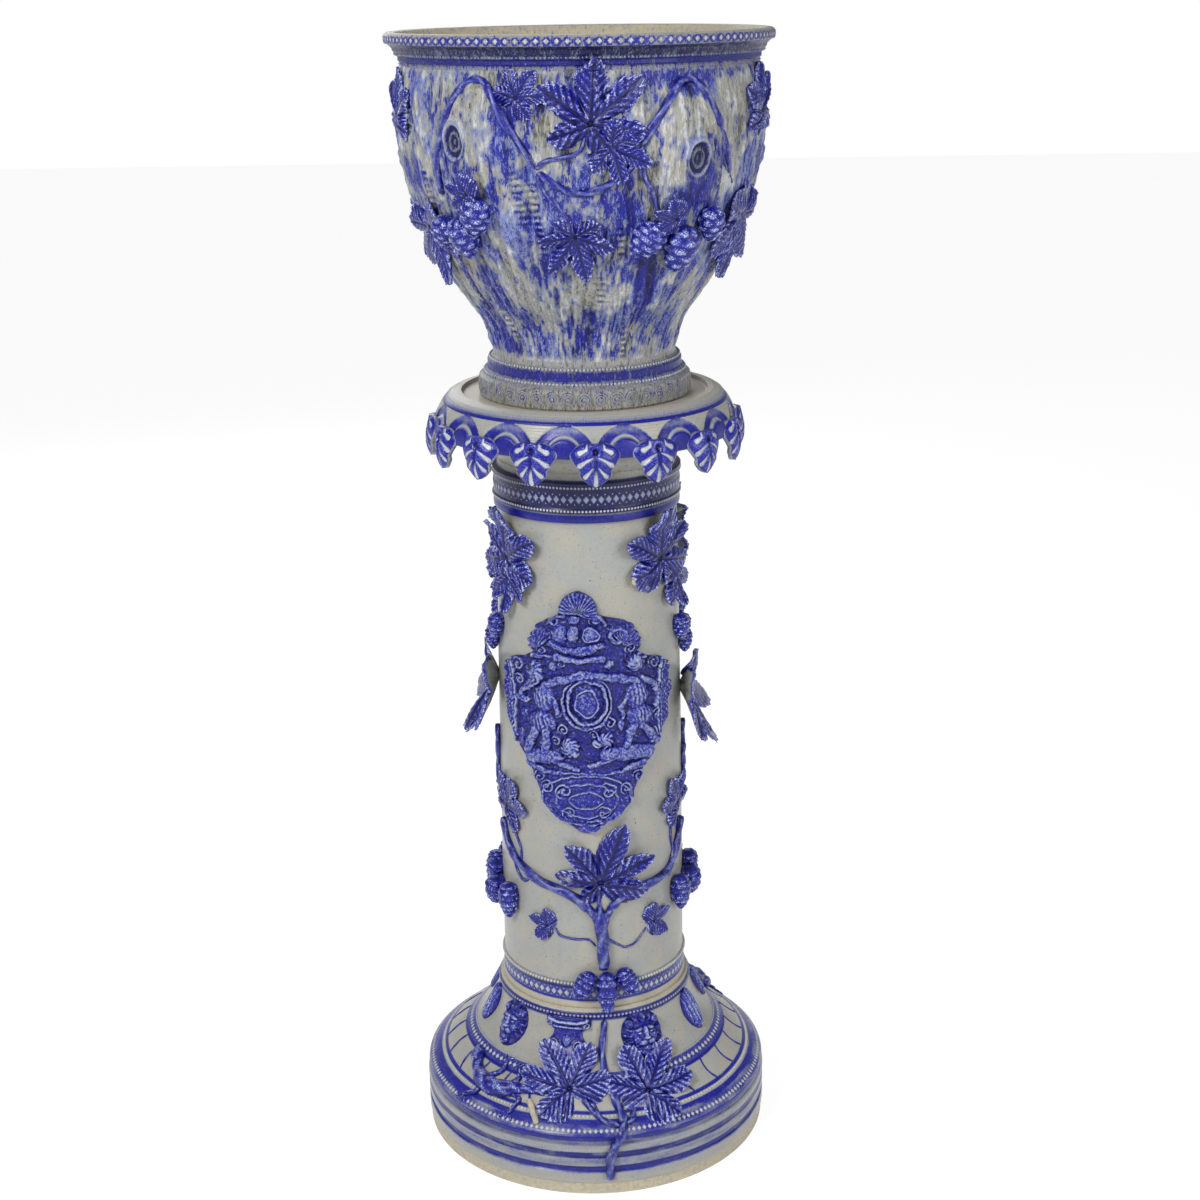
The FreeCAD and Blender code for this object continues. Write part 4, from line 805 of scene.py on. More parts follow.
def shield_panel(wall):
    """A raised panel with a crest, an oval shield held by two supporters, two lions and a pendant."""
    rows, columns = int(400 * DETAIL), int(290 * DETAIL)
    down = np.linspace(0.0, 1.0, rows)[:, None]
    t = np.linspace(-1.0, 1.0, columns)[None, :]
    half = np.interp(down, PANEL_DOWN, PANEL_HALF)
    ragged = 0.07 * np.abs(np.cos(np.pi * 33 * down)) * smooth(0.0, 0.05, down) * smooth(0.5, 0.3, down)
    half = half * (1.0 + ragged + 0.02 * np.cos(2 * np.pi * 9 * down))
    radius = 97.0
    x = np.radians(half) * radius * t - 6.0 * smooth(0.13, 0.09, down)
    y = (PANEL_TOP - PANEL_BOTTOM) * (1.0 - down) + 0.0 * t
    ground = 1.4 + 1.4 * np.abs(WRINKLES(x / 10.0, y / 10.0, 3.0)) + 0.9 * np.abs(WRINKLES(x / 5.0, y / 5.0, 8.0))
    r = Relief(x, y, ground * smooth(1.0, 0.97, np.abs(t)) + 0.4)
    r.x = x + 2.0 * WRINKLES(x / 11.0, y / 11.0, 21.0) + 0.5 * WRINKLES(x / 4.0, y / 4.0, 25.0)
    r.y = y + 2.0 * WRINKLES(x / 11.0, y / 11.0, 31.0) + 0.5 * WRINKLES(x / 4.0, y / 4.0, 35.0)
    for side in (-1, 1):
        r.dome(side * 91, 133, 14.5, 54, 4.4, power=0.3)
        r.ring(side * 91, 133, 13.5, 52, 1.5, 5.6)
        r.ring(side * 91, 133, 9.5, 44, 1.0, 5.2)
    wing = hump((np.abs(r.x) - 91) / 10.0, 1.0) * hump((r.y - 133) / 44.0, 1.0)
    r.height = r.height + 0.8 * wing * np.cos(r.x * 1.3) * np.cos(r.y * 1.1)
    r.dome(0, 38, 60, 36, 3.4, power=0.3)
    for ring in range(3):
        r.ring(0, 36, 46 - 15 * ring, 27 - 9 * ring, 1.3, 5.6)
    for side in (-1, 1):
        r.scroll(side * 21, 46, 10, 6.4, lean=side)
        r.scroll(side * 40, 48, 8, 6.0, lean=-side)
        r.scroll(side * 17, 22, 8, 6.0, lean=side)
    r.fan(0, 26, 15, 6.2, 200, 340, 7)
    for fan_shape in PANEL_FANS:
        r.fan(*fan_shape)
    wrinkled, r.x, r.y = (r.x, r.y), x, y
    r.fan(-6, 238, 25, 6.8, -25, 205, 19)
    r.x, r.y = wrinkled
    for scroll_shape in PANEL_SCROLLS:
        r.scroll(*scroll_shape)
    for ring_shape in PANEL_RINGS:
        r.ring(*ring_shape)
    for bar_radius, height, points in PANEL_BARS:
        r.bar(points, bar_radius, height)
    for dome_shape in PANEL_DOMES:
        r.dome(*dome_shape)
    for cx, cy in ((-44, 119), (58, 125), (-43, 146), (55, 148)):
        near = hump(np.hypot((r.x - cx) / 10.0, (r.y - cy) / 10.0), 1.0)
        r.height = r.height + 0.9 * near * np.cos(1.5 * (r.x - cx) + 0.25 * (r.y - cy))
    for cx, cy in ((-15, 94), (19, 102), (52.7, 184), (-52, 172)):
        apart = np.hypot(r.x - cx, r.y - cy)
        lock = np.cos(9 * np.arctan2(r.y - cy, r.x - cx) + apart) * hump(apart - 9.0, 3.5)
        r.height = r.height + 1.1 * lock
    for cx, cy, size in ((-52, 169, 1.0), (52.7, 182, 1.0), (-14, 92, 1.1), (17, 101, 1.1)):
        for dx, dy, wide, deep in ((-2.4, 1.2, 1.3, 1.3), (2.4, 1.2, 1.3, 1.3), (0.0, -4.0, 2.0, 0.9)):
            pit = hump(np.hypot((r.x - cx - dx * size) / wide, (r.y - cy - dy * size) / (0.8 * wide)), 1.0)
            r.height = r.height - deep * pit
    r.rough(0.9, 3.4)
    r.rough(0.3, 1.6, 5.0)
    r.x, r.y = x, y
    return r.patch(wall_offset(wall, (PANEL_AZIMUTH, PANEL_BOTTOM), 0.0), 0.92, 0.5, 10.5)


def lizard(wall):
    """A lizard that climbs the slope, with splayed toes."""
    parts = [creeper(wall, LIZARD_SPINE, LIZARD_GIRTH, steps=8, sides=16, fluted=0.02, sunk=0.55, cobalt=0.9)]
    for leg in LIZARD_LEGS:
        parts.append(creeper(wall, leg, (3.8, 3.0, 2.4), sides=10, fluted=0.03, sunk=0.7, cobalt=0.9))
        azimuth, height = leg[-1]
        away = 1.0 if height > leg[0][1] else -1.0
        for spread in (-2.6, 0.0, 2.6):
            toe = ((azimuth, height), (azimuth + 0.6 * spread, height + 2.0 * away),
                   (azimuth + spread, height + 4.0 * away))
            parts.append(creeper(wall, toe, (1.9, 1.5, 1.1), steps=4, sides=8, fluted=0.0, cobalt=0.95))
    for side in (-1, 1):
        eye = oval_patch(1.5, 1.5, 1.3, 14)
        parts.append(eye.patch(wall_offset(wall, (-60.0 + side * 1.1, 102.5), 6.5)))
    return join(parts)


def wall_offset(wall, place, lift):
    """A spot that stands off the wall."""
    return lambda across, up, rise: wall.place(*place, across, up, lift + rise)


# ---------------------------------------------------------------- the skirt of hanging leaves
DROP_DOWN = (0.0, 0.06, 0.14, 0.24, 0.34, 0.45, 0.56, 0.63, 0.68, 0.76, 0.82, 0.88, 0.94, 1.0)
DROP_HALF = (11.0, 18.0, 23.0, 25.2, 24.2, 20.8, 17.2, 14.8, 15.6, 14.8, 12.0, 9.5, 6.2, 1.5)
# pale strokes of half a hanging leaf: from, to (across, share of the way down) and half width
DROP_STROKES = (((8.0, 0.02), (8.6, 0.12), 1.4), ((8.6, 0.12), (15.0, 0.20), 2.2),
                ((2.8, 0.30), (8.5, 0.37), 1.3), ((8.5, 0.37), (15.0, 0.49), 2.2),
                ((2.8, 0.53), (5.5, 0.62), 1.1), ((5.5, 0.62), (10.0, 0.75), 2.0),
                ((0.0, 0.62), (0.0, 0.93), 2.0))
DROP_TOP, DROP_TIP, DROP_OUT = 803.0, 761.0, 154.0


def hanging_leaf(azimuth):
    """One leaf of the skirt, with pale hollow strokes, curling out and in again at its tip."""
    rows, columns = int(56 * DETAIL), int(54 * DETAIL)
    down = np.linspace(0.0, 1.0, rows)[:, None]
    t = np.linspace(-1.0, 1.0, columns)[None, :]
    x = np.interp(down, DROP_DOWN, DROP_HALF) * t
    deep = (DROP_TOP - DROP_TIP) * down
    out = 7.0 * np.sin(0.5 * np.pi * np.minimum(1.0, 1.25 * down)) - 5.0 * down ** 3 - 3.0
    crown = 5.0 * (1.0 - np.abs(t) ** 2.4) * (1.0 - 0.35 * down) - 3.0 * (x / 25.0) ** 2
    pale = np.zeros_like(x)
    for (x0, d0), (x1, d1), width in DROP_STROKES:
        y0, y1 = d0 * (DROP_TOP - DROP_TIP), d1 * (DROP_TOP - DROP_TIP)
        for side in (-1, 1):
            dx, dy = side * (x1 - x0), y1 - y0
            s = np.clip(((x - side * x0) * dx + (deep - y0) * dy) / (dx * dx + dy * dy), 0.0, 1.0)
            apart = np.hypot(x - side * x0 - s * dx, deep - y0 - s * dy)
            pale = np.maximum(pale, smooth(width * (0.6 + 0.6 * s) + 0.5, width * (0.6 + 0.6 * s) - 0.5, apart))
    groove = hump(x, 1.6) * smooth(0.05, 0.2, down) * smooth(0.8, 0.6, down)
    lift = out + crown - 2.0 * pale - 1.8 * groove
    eye = hump(np.hypot(x, (deep - 7.0)), 3.0)
    lift = lift - 3.0 * eye
    height = DROP_TOP - deep
    front = polar(DROP_OUT + 4.0 + lift, azimuth + np.degrees(x / 157.0), height)
    back = polar(DROP_OUT + out - 2.0 * (x / 25.0) ** 2, azimuth + np.degrees(x / 157.0), height)
    relief = 0.45 + 0.2 * (1.0 - np.abs(t)) - 0.4 * groove - 0.4 * eye + 0.4 * pale
    edge = smooth(0.9, 0.97, np.abs(t))
    cobalt = 1.0 - 0.85 * pale - 0.62 * edge
    return grid_shell(front, back, glazes(cobalt, relief), glazes(np.full_like(x, 0.2), 0.4))


def arch_marks(azimuth, z):
    """Marks of the bell between the hanging leaves: band, outline and window of each arch."""
    pitch = 360.0 / DROP_COUNT
    across = (wrapped(azimuth - DROP_FIRST) + 180.0 * pitch) % pitch - 0.5 * pitch
    x = np.radians(across) * 154.0
    outer = np.hypot(x / 30.6, (z - 789.0) / 29.6)
    line = np.hypot(x / 18.5, (z - 787.0) / 21.0)
    return outer, line


def bell_relief(azimuth, r, z):
    outer, line = arch_marks(azimuth, z)
    on_bell = smooth(142.0, 146.0, r) * smooth(787.5, 789.5, z)
    band = np.sqrt(np.clip(1.0 - ((outer + line * 0.62 - 1.62) / 0.5) ** 2, 0.0, 1.0)) * (outer < 1.0) * (line > 1.0)
    lines = 0.25 * np.cos(2 * np.pi * z / 2.4) * smooth(1.0, 1.05, outer)
    return on_bell * (2.2 * band + 1.2 * hump(line - 1.0, 0.09) - 1.4 * smooth(1.0, 0.85, line) + lines)


# ---------------------------------------------------------------- the three thrown pieces
BARK = Noise(3)


def stump_bulge(azimuth, z):
    """How far the tree stumps swell out of the pot."""
    down = (STUMP_TOP - z) / (STUMP_TOP - STUMP_BOTTOM)
    width = np.interp(down, STUMP_DOWN, STUMP_WIDTH) * STUMP_HALF_WIDTH
    rise = np.interp(down, STUMP_DOWN, STUMP_RISE, left=0.0, right=0.0) * STUMP_CROWN
    total = 0.0
    for centre in STUMPS:
        for turn in (0.0, 180.0):
            t = wrapped(azimuth - centre - turn) / width
            total = total + rise * np.clip(1.0 - t * t, 0.0, 1.0) ** 0.42
    return total


def knot_field(azimuth, z, field):
    """Sums field(apart, dx, dy) over the knots and their twins."""
    total = 0.0
    for centre, height, wide, tall in KNOTS:
        for turn in (0.0, 180.0):
            dx = np.radians(wrapped(azimuth - centre - turn)) * 178.0
            dy = z - height
            total = total + field(np.hypot(dx / wide, dy / tall), dx, dy)
    return total


def bark(azimuth, z):
    """Carved bark: wavy furrows that part round the knots, ladders of short cuts, and soft lumps."""
    push = knot_field(azimuth, z, lambda apart, dx, dy: -4.0 * np.sign(dx) * hump(apart, 1.9))
    warp = azimuth + push + 2.6 * on_drum(BARK, azimuth, z, 60.0, 70.0)
    coarse = 1.0 - 2.0 * np.abs(on_drum(BARK, warp, z, 11.0, 85.0))
    fine = 1.0 - 2.0 * np.abs(on_drum(BARK, warp, z + 300.0, 4.6, 34.0))
    chips = on_drum(BARK, azimuth + 0.12 * z, z, 6.0, 5.0)
    lumps = on_drum(BARK, azimuth, z + 500.0, 34.0, 60.0)
    rough = smooth(-0.3, 0.3, on_drum(BARK, azimuth, z, 40.0, 40.0))
    relief = 1.4 * coarse + (0.8 + 0.6 * rough) * fine + 0.7 * chips * rough + 1.6 * lumps
    rings = knot_field(azimuth, z, lambda apart, dx, dy: smooth(1.35, 1.05, apart) * (
        1.2 * np.cos(apart * 12.6) - 1.8 * smooth(1.1, 0.5, apart)) + 3.4 * smooth(-4.0, 6.0, dy) * hump(apart - 1.14, 0.16))
    calm = knot_field(azimuth, z, lambda apart, dx, dy: hump(apart, 1.2))
    relief = relief * (1.0 - np.clip(calm, 0.0, 1.0)) + rings
    for centre, high, low in LADDERS:
        for turn in (0.0, 180.0):
            dx = np.radians(wrapped(azimuth - centre - turn + 0.03 * (z - low))) * 165.0
            inside = hump(dx, 4.2) * smooth(low - 4, low + 4, z) * smooth(high + 4, high - 4, z)
            relief = relief * (1.0 - 0.7 * inside) + 1.7 * inside * np.cos(2 * np.pi * z / 6.0)
    return relief


def pot_relief(azimuth, r, z):
    outside = (r > np.interp(z, [p[1] for p in POT_WALL], [p[0] for p in POT_WALL]) - 2.0)
    body = smooth(867.0, 882.0, z) * smooth(1150.0, 1142.0, z) * outside
    return body * (bark(azimuth, z) + stump_bulge(azimuth, z))


def pot_cobalt(azimuth, z):
    """Where cobalt was dabbed on the bark: upright brush marks in loose patches."""
    patches = on_drum(BARK, azimuth + 40.0, z, 40.0, 48.0) + 0.7 * on_drum(BARK, azimuth + 90.0, z, 17.0, 20.0)
    streaks = on_drum(BARK, azimuth, z + 77.0, 6.0, 14.0) + 0.9 * on_drum(BARK, azimuth, z + 155.0, 3.4, 6.5)
    knots = knot_field(azimuth, z, lambda apart, dx, dy: smooth(1.3, 1.1, apart))
    rings = knot_field(azimuth, z, lambda apart, dx, dy: smooth(1.3, 1.1, apart) * (0.66 - 0.42 * np.cos(apart * 12.6)))
    low = 0.22 * hump((z - 885.0) / 26.0, 1.0) + 0.12 * hump((z - 1010.0) / 40.0, 1.0)
    amount = (0.40 + 0.85 * patches + 0.5 * streaks + low) * (1.0 - knots) + rings
    calm = np.zeros_like(amount)
    for centre in STUMPS:
        for turn in (0.0, 180.0):
            calm = calm + hump(wrapped(azimuth - centre - turn) / 9.0, 1.0) * smooth(1040.0, 1100.0, z)
    return np.clip(amount - 0.22 * calm * (1.0 - knots), 0.0, 1.0)


POT_WALL = list(POT_FOOT[3:-1]) + arcs(POT_BODY) + list(POT_RIM[1:-1])
SHAFT_WALL = list(COLUMN_FOOT[:-1]) + arcs(COLUMN_SHAFT) + list(COLUMN_HEAD[1:10])
SLOPE_WALL = list(PLINTH_DRUM[1:-1]) + arcs(PLINTH_SLOPE) + [(105.5, 162.0), (103.5, 172.0)]
pot_wall = Wall(POT_WALL, stump_bulge)
shaft_wall = Wall(SHAFT_WALL)
slope_wall = Wall(SLOPE_WALL)


def repaint(one, azimuth_cobalt):
    """The shape with its cobalt changed by a function of azimuth, height, old cobalt and radius."""
    points, faces, glaze = one
    azimuth = np.degrees(np.arctan2(points[:, 0], -points[:, 1]))
    glaze = glaze.copy()
    glaze[:, 0] = np.clip(azimuth_cobalt(azimuth, points, glaze[:, 0]), 0.0, 1.0)
    return points, faces, glaze


def pot_shape():
    outside = dense(list(POT_FOOT), 1.6) + dense(arcs(POT_BODY, 24)[1:], 1.9 / DETAIL, 0.0) \
        + dense(list(POT_RIM), 1.6)[1:]
    inside = dense(list(POT_INSIDE), 12.0)[1:]
    profile = outside + inside
    one = lathe(profile, int(820 * DETAIL), banded(profile, POT_GLAZE, len(outside), (0, .5, 1)), pot_relief)

    def dabbed(azimuth, points, cobalt):
        z = points[:, 2]
        radius = np.hypot(points[:, 0], points[:, 1])
        wall = np.interp(z, [p[1] for p in POT_WALL], [p[0] for p in POT_WALL])
        body = smooth(868.0, 880.0, z) * smooth(1149.0, 1144.0, z) * (radius > wall - 6.0)
        across, up = (azimuth * RIM_CROSSES / 360.0) % 1.0, (z - 1169.4) / 7.4
        cross = hump(np.minimum(np.abs(across - up), np.abs(across - 1.0 + up)), 0.2)
        edge = smooth(1168.8, 1169.6, z) * smooth(1177.6, 1176.6, z) * (radius > 187.5)
        cobalt = cobalt * (1 - edge) + edge * (0.22 + 0.62 * cross)
        return cobalt * (1 - body) + body * pot_cobalt(azimuth, z)

    one = repaint(one, dabbed)
    points, faces, glaze = one
    radius = np.hypot(points[:, 0], points[:, 1])
    z = points[:, 2]
    wall = np.interp(z, [p[1] for p in POT_WALL], [p[0] for p in POT_WALL])
    body = (z > 870.0) & (z < 1148.0) & (radius > wall - 6.0)
    azimuth = np.degrees(np.arctan2(points[:, 0], -points[:, 1]))
    glaze[body, 1] = np.clip(0.42 + 0.2 * bark(azimuth[body], z[body]), 0.0, 1.0)
    rows = [one,
            ring_of(rosette(8.6, 1.6), 42, 107.0, 835.0),
            ring_of(stud(1.7, 1.7, 1.9), 168, 101.8, 849.0, 30.0),
            ring_of(stud(1.7, 1.7, 1.8), 160, 96.2, 862.6, 20.0),
            ring_of(stud(1.3, 1.2, 1.3, 6, 1), 330, 175.2, 1149.2),
            ring_of(stud(1.4, 1.5, 1.3, 6, 1, (0.7, 0.2)), 300, 179.8, 1158.8),
            ring_of(stud(1.2, 1.2, 1.2, 6, 1, (0.8, 0.4)), 330, 182.6, 1165.2, -30.0),
            ring_of(stud(3.0, 3.2, 0.9, 4, 2, (0.6, 0.1)), RIM_CROSSES, 189.7, 1173.2),
            ring_of(stud(1.6, 0.9, 0.8, 6, 1, (0.5, 0.0)), 290, 188.6, 1177.2, 45.0)]
    return join(rows)


def column_shape():
    outside = dense(list(COLUMN_FOOT), 1.4) + dense(arcs(COLUMN_SHAFT, 30)[1:], 6.0, 0.0) \
        + dense(list(COLUMN_HEAD[:13]), 1.4)[1:]
    inside = list(COLUMN_HEAD[13:])
    profile = outside + inside
    profile.append(profile[0])
    profile = profile[:-1]

    def thrown(azimuth, r, z):
        shaft = smooth(204.0, 215.0, z) * smooth(704.0, 696.0, z) * (r > 90.0)
        return shaft * (0.35 * on_drum(BARK, azimuth, z, 55.0, 90.0) + 0.12 * on_drum(BARK, azimuth, z, 8.0, 8.0))

    one = lathe(profile, int(400 * DETAIL), banded(profile, COLUMN_GLAZE, len(outside), (0, .5, .3)), thrown)

    def washed(azimuth, points, cobalt):
        z = points[:, 2]
        drip = on_drum(BARK, azimuth, z * 0.25, 9.0, 60.0, 97.0) * smooth(205.0, 215.0, z) * smooth(640, 430, z)
        return cobalt + 0.16 * np.clip(drip - 0.1, 0.0, 1.0)

    one = repaint(one, washed)
    return join([one,
                 ring_of(stud(1.9, 2.1, 2.2, cobalt=(0.4, -0.2)), 160, 100.2, 199.0, 10.0),
                 ring_of(stud(3.5, 4.6, 1.2, 4, 2, (0.75, 0.2)), 84, 99.6, 187.0),
                 ring_of(stud(1.5, 1.5, 0.8, 4, 1, (0.75, -0.4)), 84, 99.6, 191.8, 0.0, 2.14),
                 ring_of(stud(1.5, 1.5, 0.8, 4, 1, (0.75, -0.4)), 84, 99.6, 182.4, 0.0, 2.14),
                 ring_of(stud(1.6, 1.6, 1.4, cobalt=(0.8, 0.12)), 168, 97.2, 720.8),
                 ring_of(stud(3.7, 4.8, 1.2, 4, 2, (0.75, 0.42)), 80, 96.3, 732.6),
                 ring_of(stud(1.4, 1.4, 0.8, 4, 1, (0.75, -0.4)), 80, 96.3, 737.6, 0.0, 2.25),
                 ring_of(stud(1.4, 1.4, 0.8, 4, 1, (0.75, -0.4)), 80, 96.3, 727.6, 0.0, 2.25),
                 ring_of(stud(1.6, 1.6, 1.4, cobalt=(0.8, 0.3)), 168, 97.2, 744.6)])


def plate_shape():
    bell = dense(arcs(PLATE_BELL, 12), 0.9 / DETAIL, 0.0)
    outside = dense(list(PLATE_TOP), 3.0) + bell[1:]
    under = dense(list(PLATE_UNDER), 6.0)
    profile = outside + under
    glaze = banded(profile, PLATE_GLAZE, len(outside) + 2, (0.0, 0.4, 0.1))
    flat = np.array([p[0] < 127.0 for p in profile])
    glaze[flat & (np.arange(len(profile)) < len(outside))] = (0.0, 0.35, 0.55)
    one = lathe(profile, int(900 * DETAIL), glaze, bell_relief)

    def arched(azimuth, points, cobalt):
        z = points[:, 2]
        radius = np.hypot(points[:, 0], points[:, 1])
        outer, line = arch_marks(azimuth, z)
        painted = np.where(outer < 1.0, 1.0 - 0.5 * hump((z - 814.0) / 5.0, 1.0), 0.02)
        painted = painted * (1.0 - 0.95 * hump(line - 1.0, 0.075))
        on_bell = smooth(143.5, 144.5, radius) * smooth(818.4, 817.6, z) * (z > 788.0)
        return cobalt * (1 - on_bell) + on_bell * painted

    one = repaint(one, arched)
    return join([one, ring_of(stud(1.1, 1.6, 0.9, 6, 1, (0.55, 0.1)), 300, 140.4, 823.6, 50.0)])


def gadroon_relief(azimuth, r, z):
    """Pillows between the painted lines of the slope."""
    share = (azimuth / 360.0 * GADROONS) % 1.0
    inside = smooth(86.0, 90.0, z) * smooth(102.5, 98.0, z) * (r > 140.0)
    return inside * (1.3 * np.sqrt(np.clip(np.sin(np.pi * share), 0.0, 1.0)) - 0.4)


def plinth_shape():
    outside = dense(list(PLINTH_DRUM), 1.1) + dense(arcs(PLINTH_SLOPE, 24)[1:], 1.0 / DETAIL, 0.0) \
        + dense(list(PLINTH_COLLAR[:7]), 1.2)[1:]
    inside = dense(list(PLINTH_COLLAR[6:]), 10.0)[1:]
    profile = outside + inside
    glaze = banded(profile, PLINTH_GLAZE, len(outside), (0.0, 0.5, 0.8))
    one = lathe(profile, int(560 * DETAIL), glaze, gadroon_relief)

    def washed(azimuth, points, cobalt):
        streak = on_drum(BARK, azimuth, points[:, 2], 34.0, 5.0) + 0.5 * on_drum(BARK, azimuth, points[:, 2], 12.0, 3.0)
        return cobalt * (1.0 + 0.5 * streak * smooth(110.0, 70.0, points[:, 2]))

    one = repaint(one, washed)
    lines = []
    for index in range(GADROONS):
        start = index * 360.0 / GADROONS
        path = ((start + 1.2, 85.4), (start - 0.6, 92.0), (start - 0.8, 98.0), (start + 0.4, 103.4))
        lines.append(creeper(slope_wall, path, (1.5, 1.3), steps=5, sides=6, fluted=0.0, sunk=-0.2, cobalt=1.0))
    rows = [one,
            ring_of(stud(1.3, 1.2, 1.0, 6, 1, (0.5, 0.1)), 420, 188.8, 24.6),
            ring_of(stud(1.0, 0.9, 0.8, 6, 1, (0.6, 0.1)), 440, 188.8, 39.4),
            ring_of(stud(1.0, 0.9, 0.8, 6, 1, (0.6, 0.1)), 440, 188.8, 42.0, 0.0, 0.4),
            ring_of(stud(1.5, 1.5, 1.2, 6, 1, (0.6, 0.05)), 360, 188.8, 53.8),
            ring_of(stud(2.8, 3.4, 1.0, 4, 2, (0.75, 0.15)), 200, 183.6, 72.6, 52.0),
            ring_of(stud(2.1, 1.9, 2.0, 8, 2, (0.4, -0.1)), 250, 170.6, 82.0, 52.0),
            ring_of(stud(3.2, 3.6, 1.0, 4, 2, (0.75, 0.15)), 130, 139.0, 108.6, 46.0),
            ring_of(stud(1.5, 1.4, 1.2, 6, 1, (0.6, 0.05)), 250, 133.4, 113.8, 45.0),
            ring_of(stud(1.9, 2.0, 1.6, 8, 2, (0.9, 0.35)), 152, 105.8, 164.2)]
    return join(rows + lines)


# ---------------------------------------------------------------- materials
def srgb(red, green, blue):
    """A colour written as 0-255, in linear light."""
    linear = [c / 255.0 / 12.92 if c < 10.3 else ((c / 255.0 + 0.055) / 1.055) ** 2.4 for c in (red, green, blue)]
    return (*linear, 1.0)


class Graph:
    """A material's node tree, built by short calls that return output sockets."""

    def __init__(self, name):
        self.material = bpy.data.materials.new(name)
        self.material.use_nodes = True
        self.tree = self.material.node_tree
        self.tree.nodes.clear()

    def node(self, kind, inputs=None, **settings):
        made = self.tree.nodes.new(kind)
        for key, value in settings.items():
            setattr(made, key, value)
        for key, value in (inputs or {}).items():
            if isinstance(value, bpy.types.NodeSocket):
                self.tree.links.new(value, made.inputs[key])
            else:
                made.inputs[key].default_value = value
        return made

    def math(self, operation, a, b=0.0, clamp=False):
        return self.node("ShaderNodeMath", {0: a, 1: b}, operation=operation, use_clamp=clamp).outputs[0]

    def step(self, value, low, high):
        ranged = self.node("ShaderNodeMapRange", {"Value": value, "From Min": low, "From Max": high},
                           interpolation_type="SMOOTHSTEP")
        return ranged.outputs["Result"]

    def mix(self, factor, a, b, blend="MIX"):
        made = self.node("ShaderNodeMix", data_type="RGBA", blend_type=blend)
        for socket, value in ((made.inputs[0], factor), (made.inputs[6], a), (made.inputs[7], b)):
            if isinstance(value, bpy.types.NodeSocket):
                self.tree.links.new(value, socket)
            else:
                socket.default_value = value
        return made.outputs[2]

    def noise(self, vector, scale, detail=3.0, roughness=0.55):
        return self.node("ShaderNodeTexNoise", {"Vector": vector, "Scale": scale, "Detail": detail,
                                                "Roughness": roughness}).outputs["Fac"]


GREY, GREY_WARM, DIRT_AND_SHADE = srgb(156, 158, 155), srgb(164, 161, 150), srgb(66, 62, 54)
CLAY = srgb(194, 182, 152)
COBALT_POOLED_AND_SHADED, COBALT, COBALT_THIN = srgb(6, 6, 72), srgb(16, 20, 142), srgb(70, 98, 172)
FLECK, PAINTED_HIGHLIGHT = srgb(198, 206, 232), srgb(206, 207, 208)


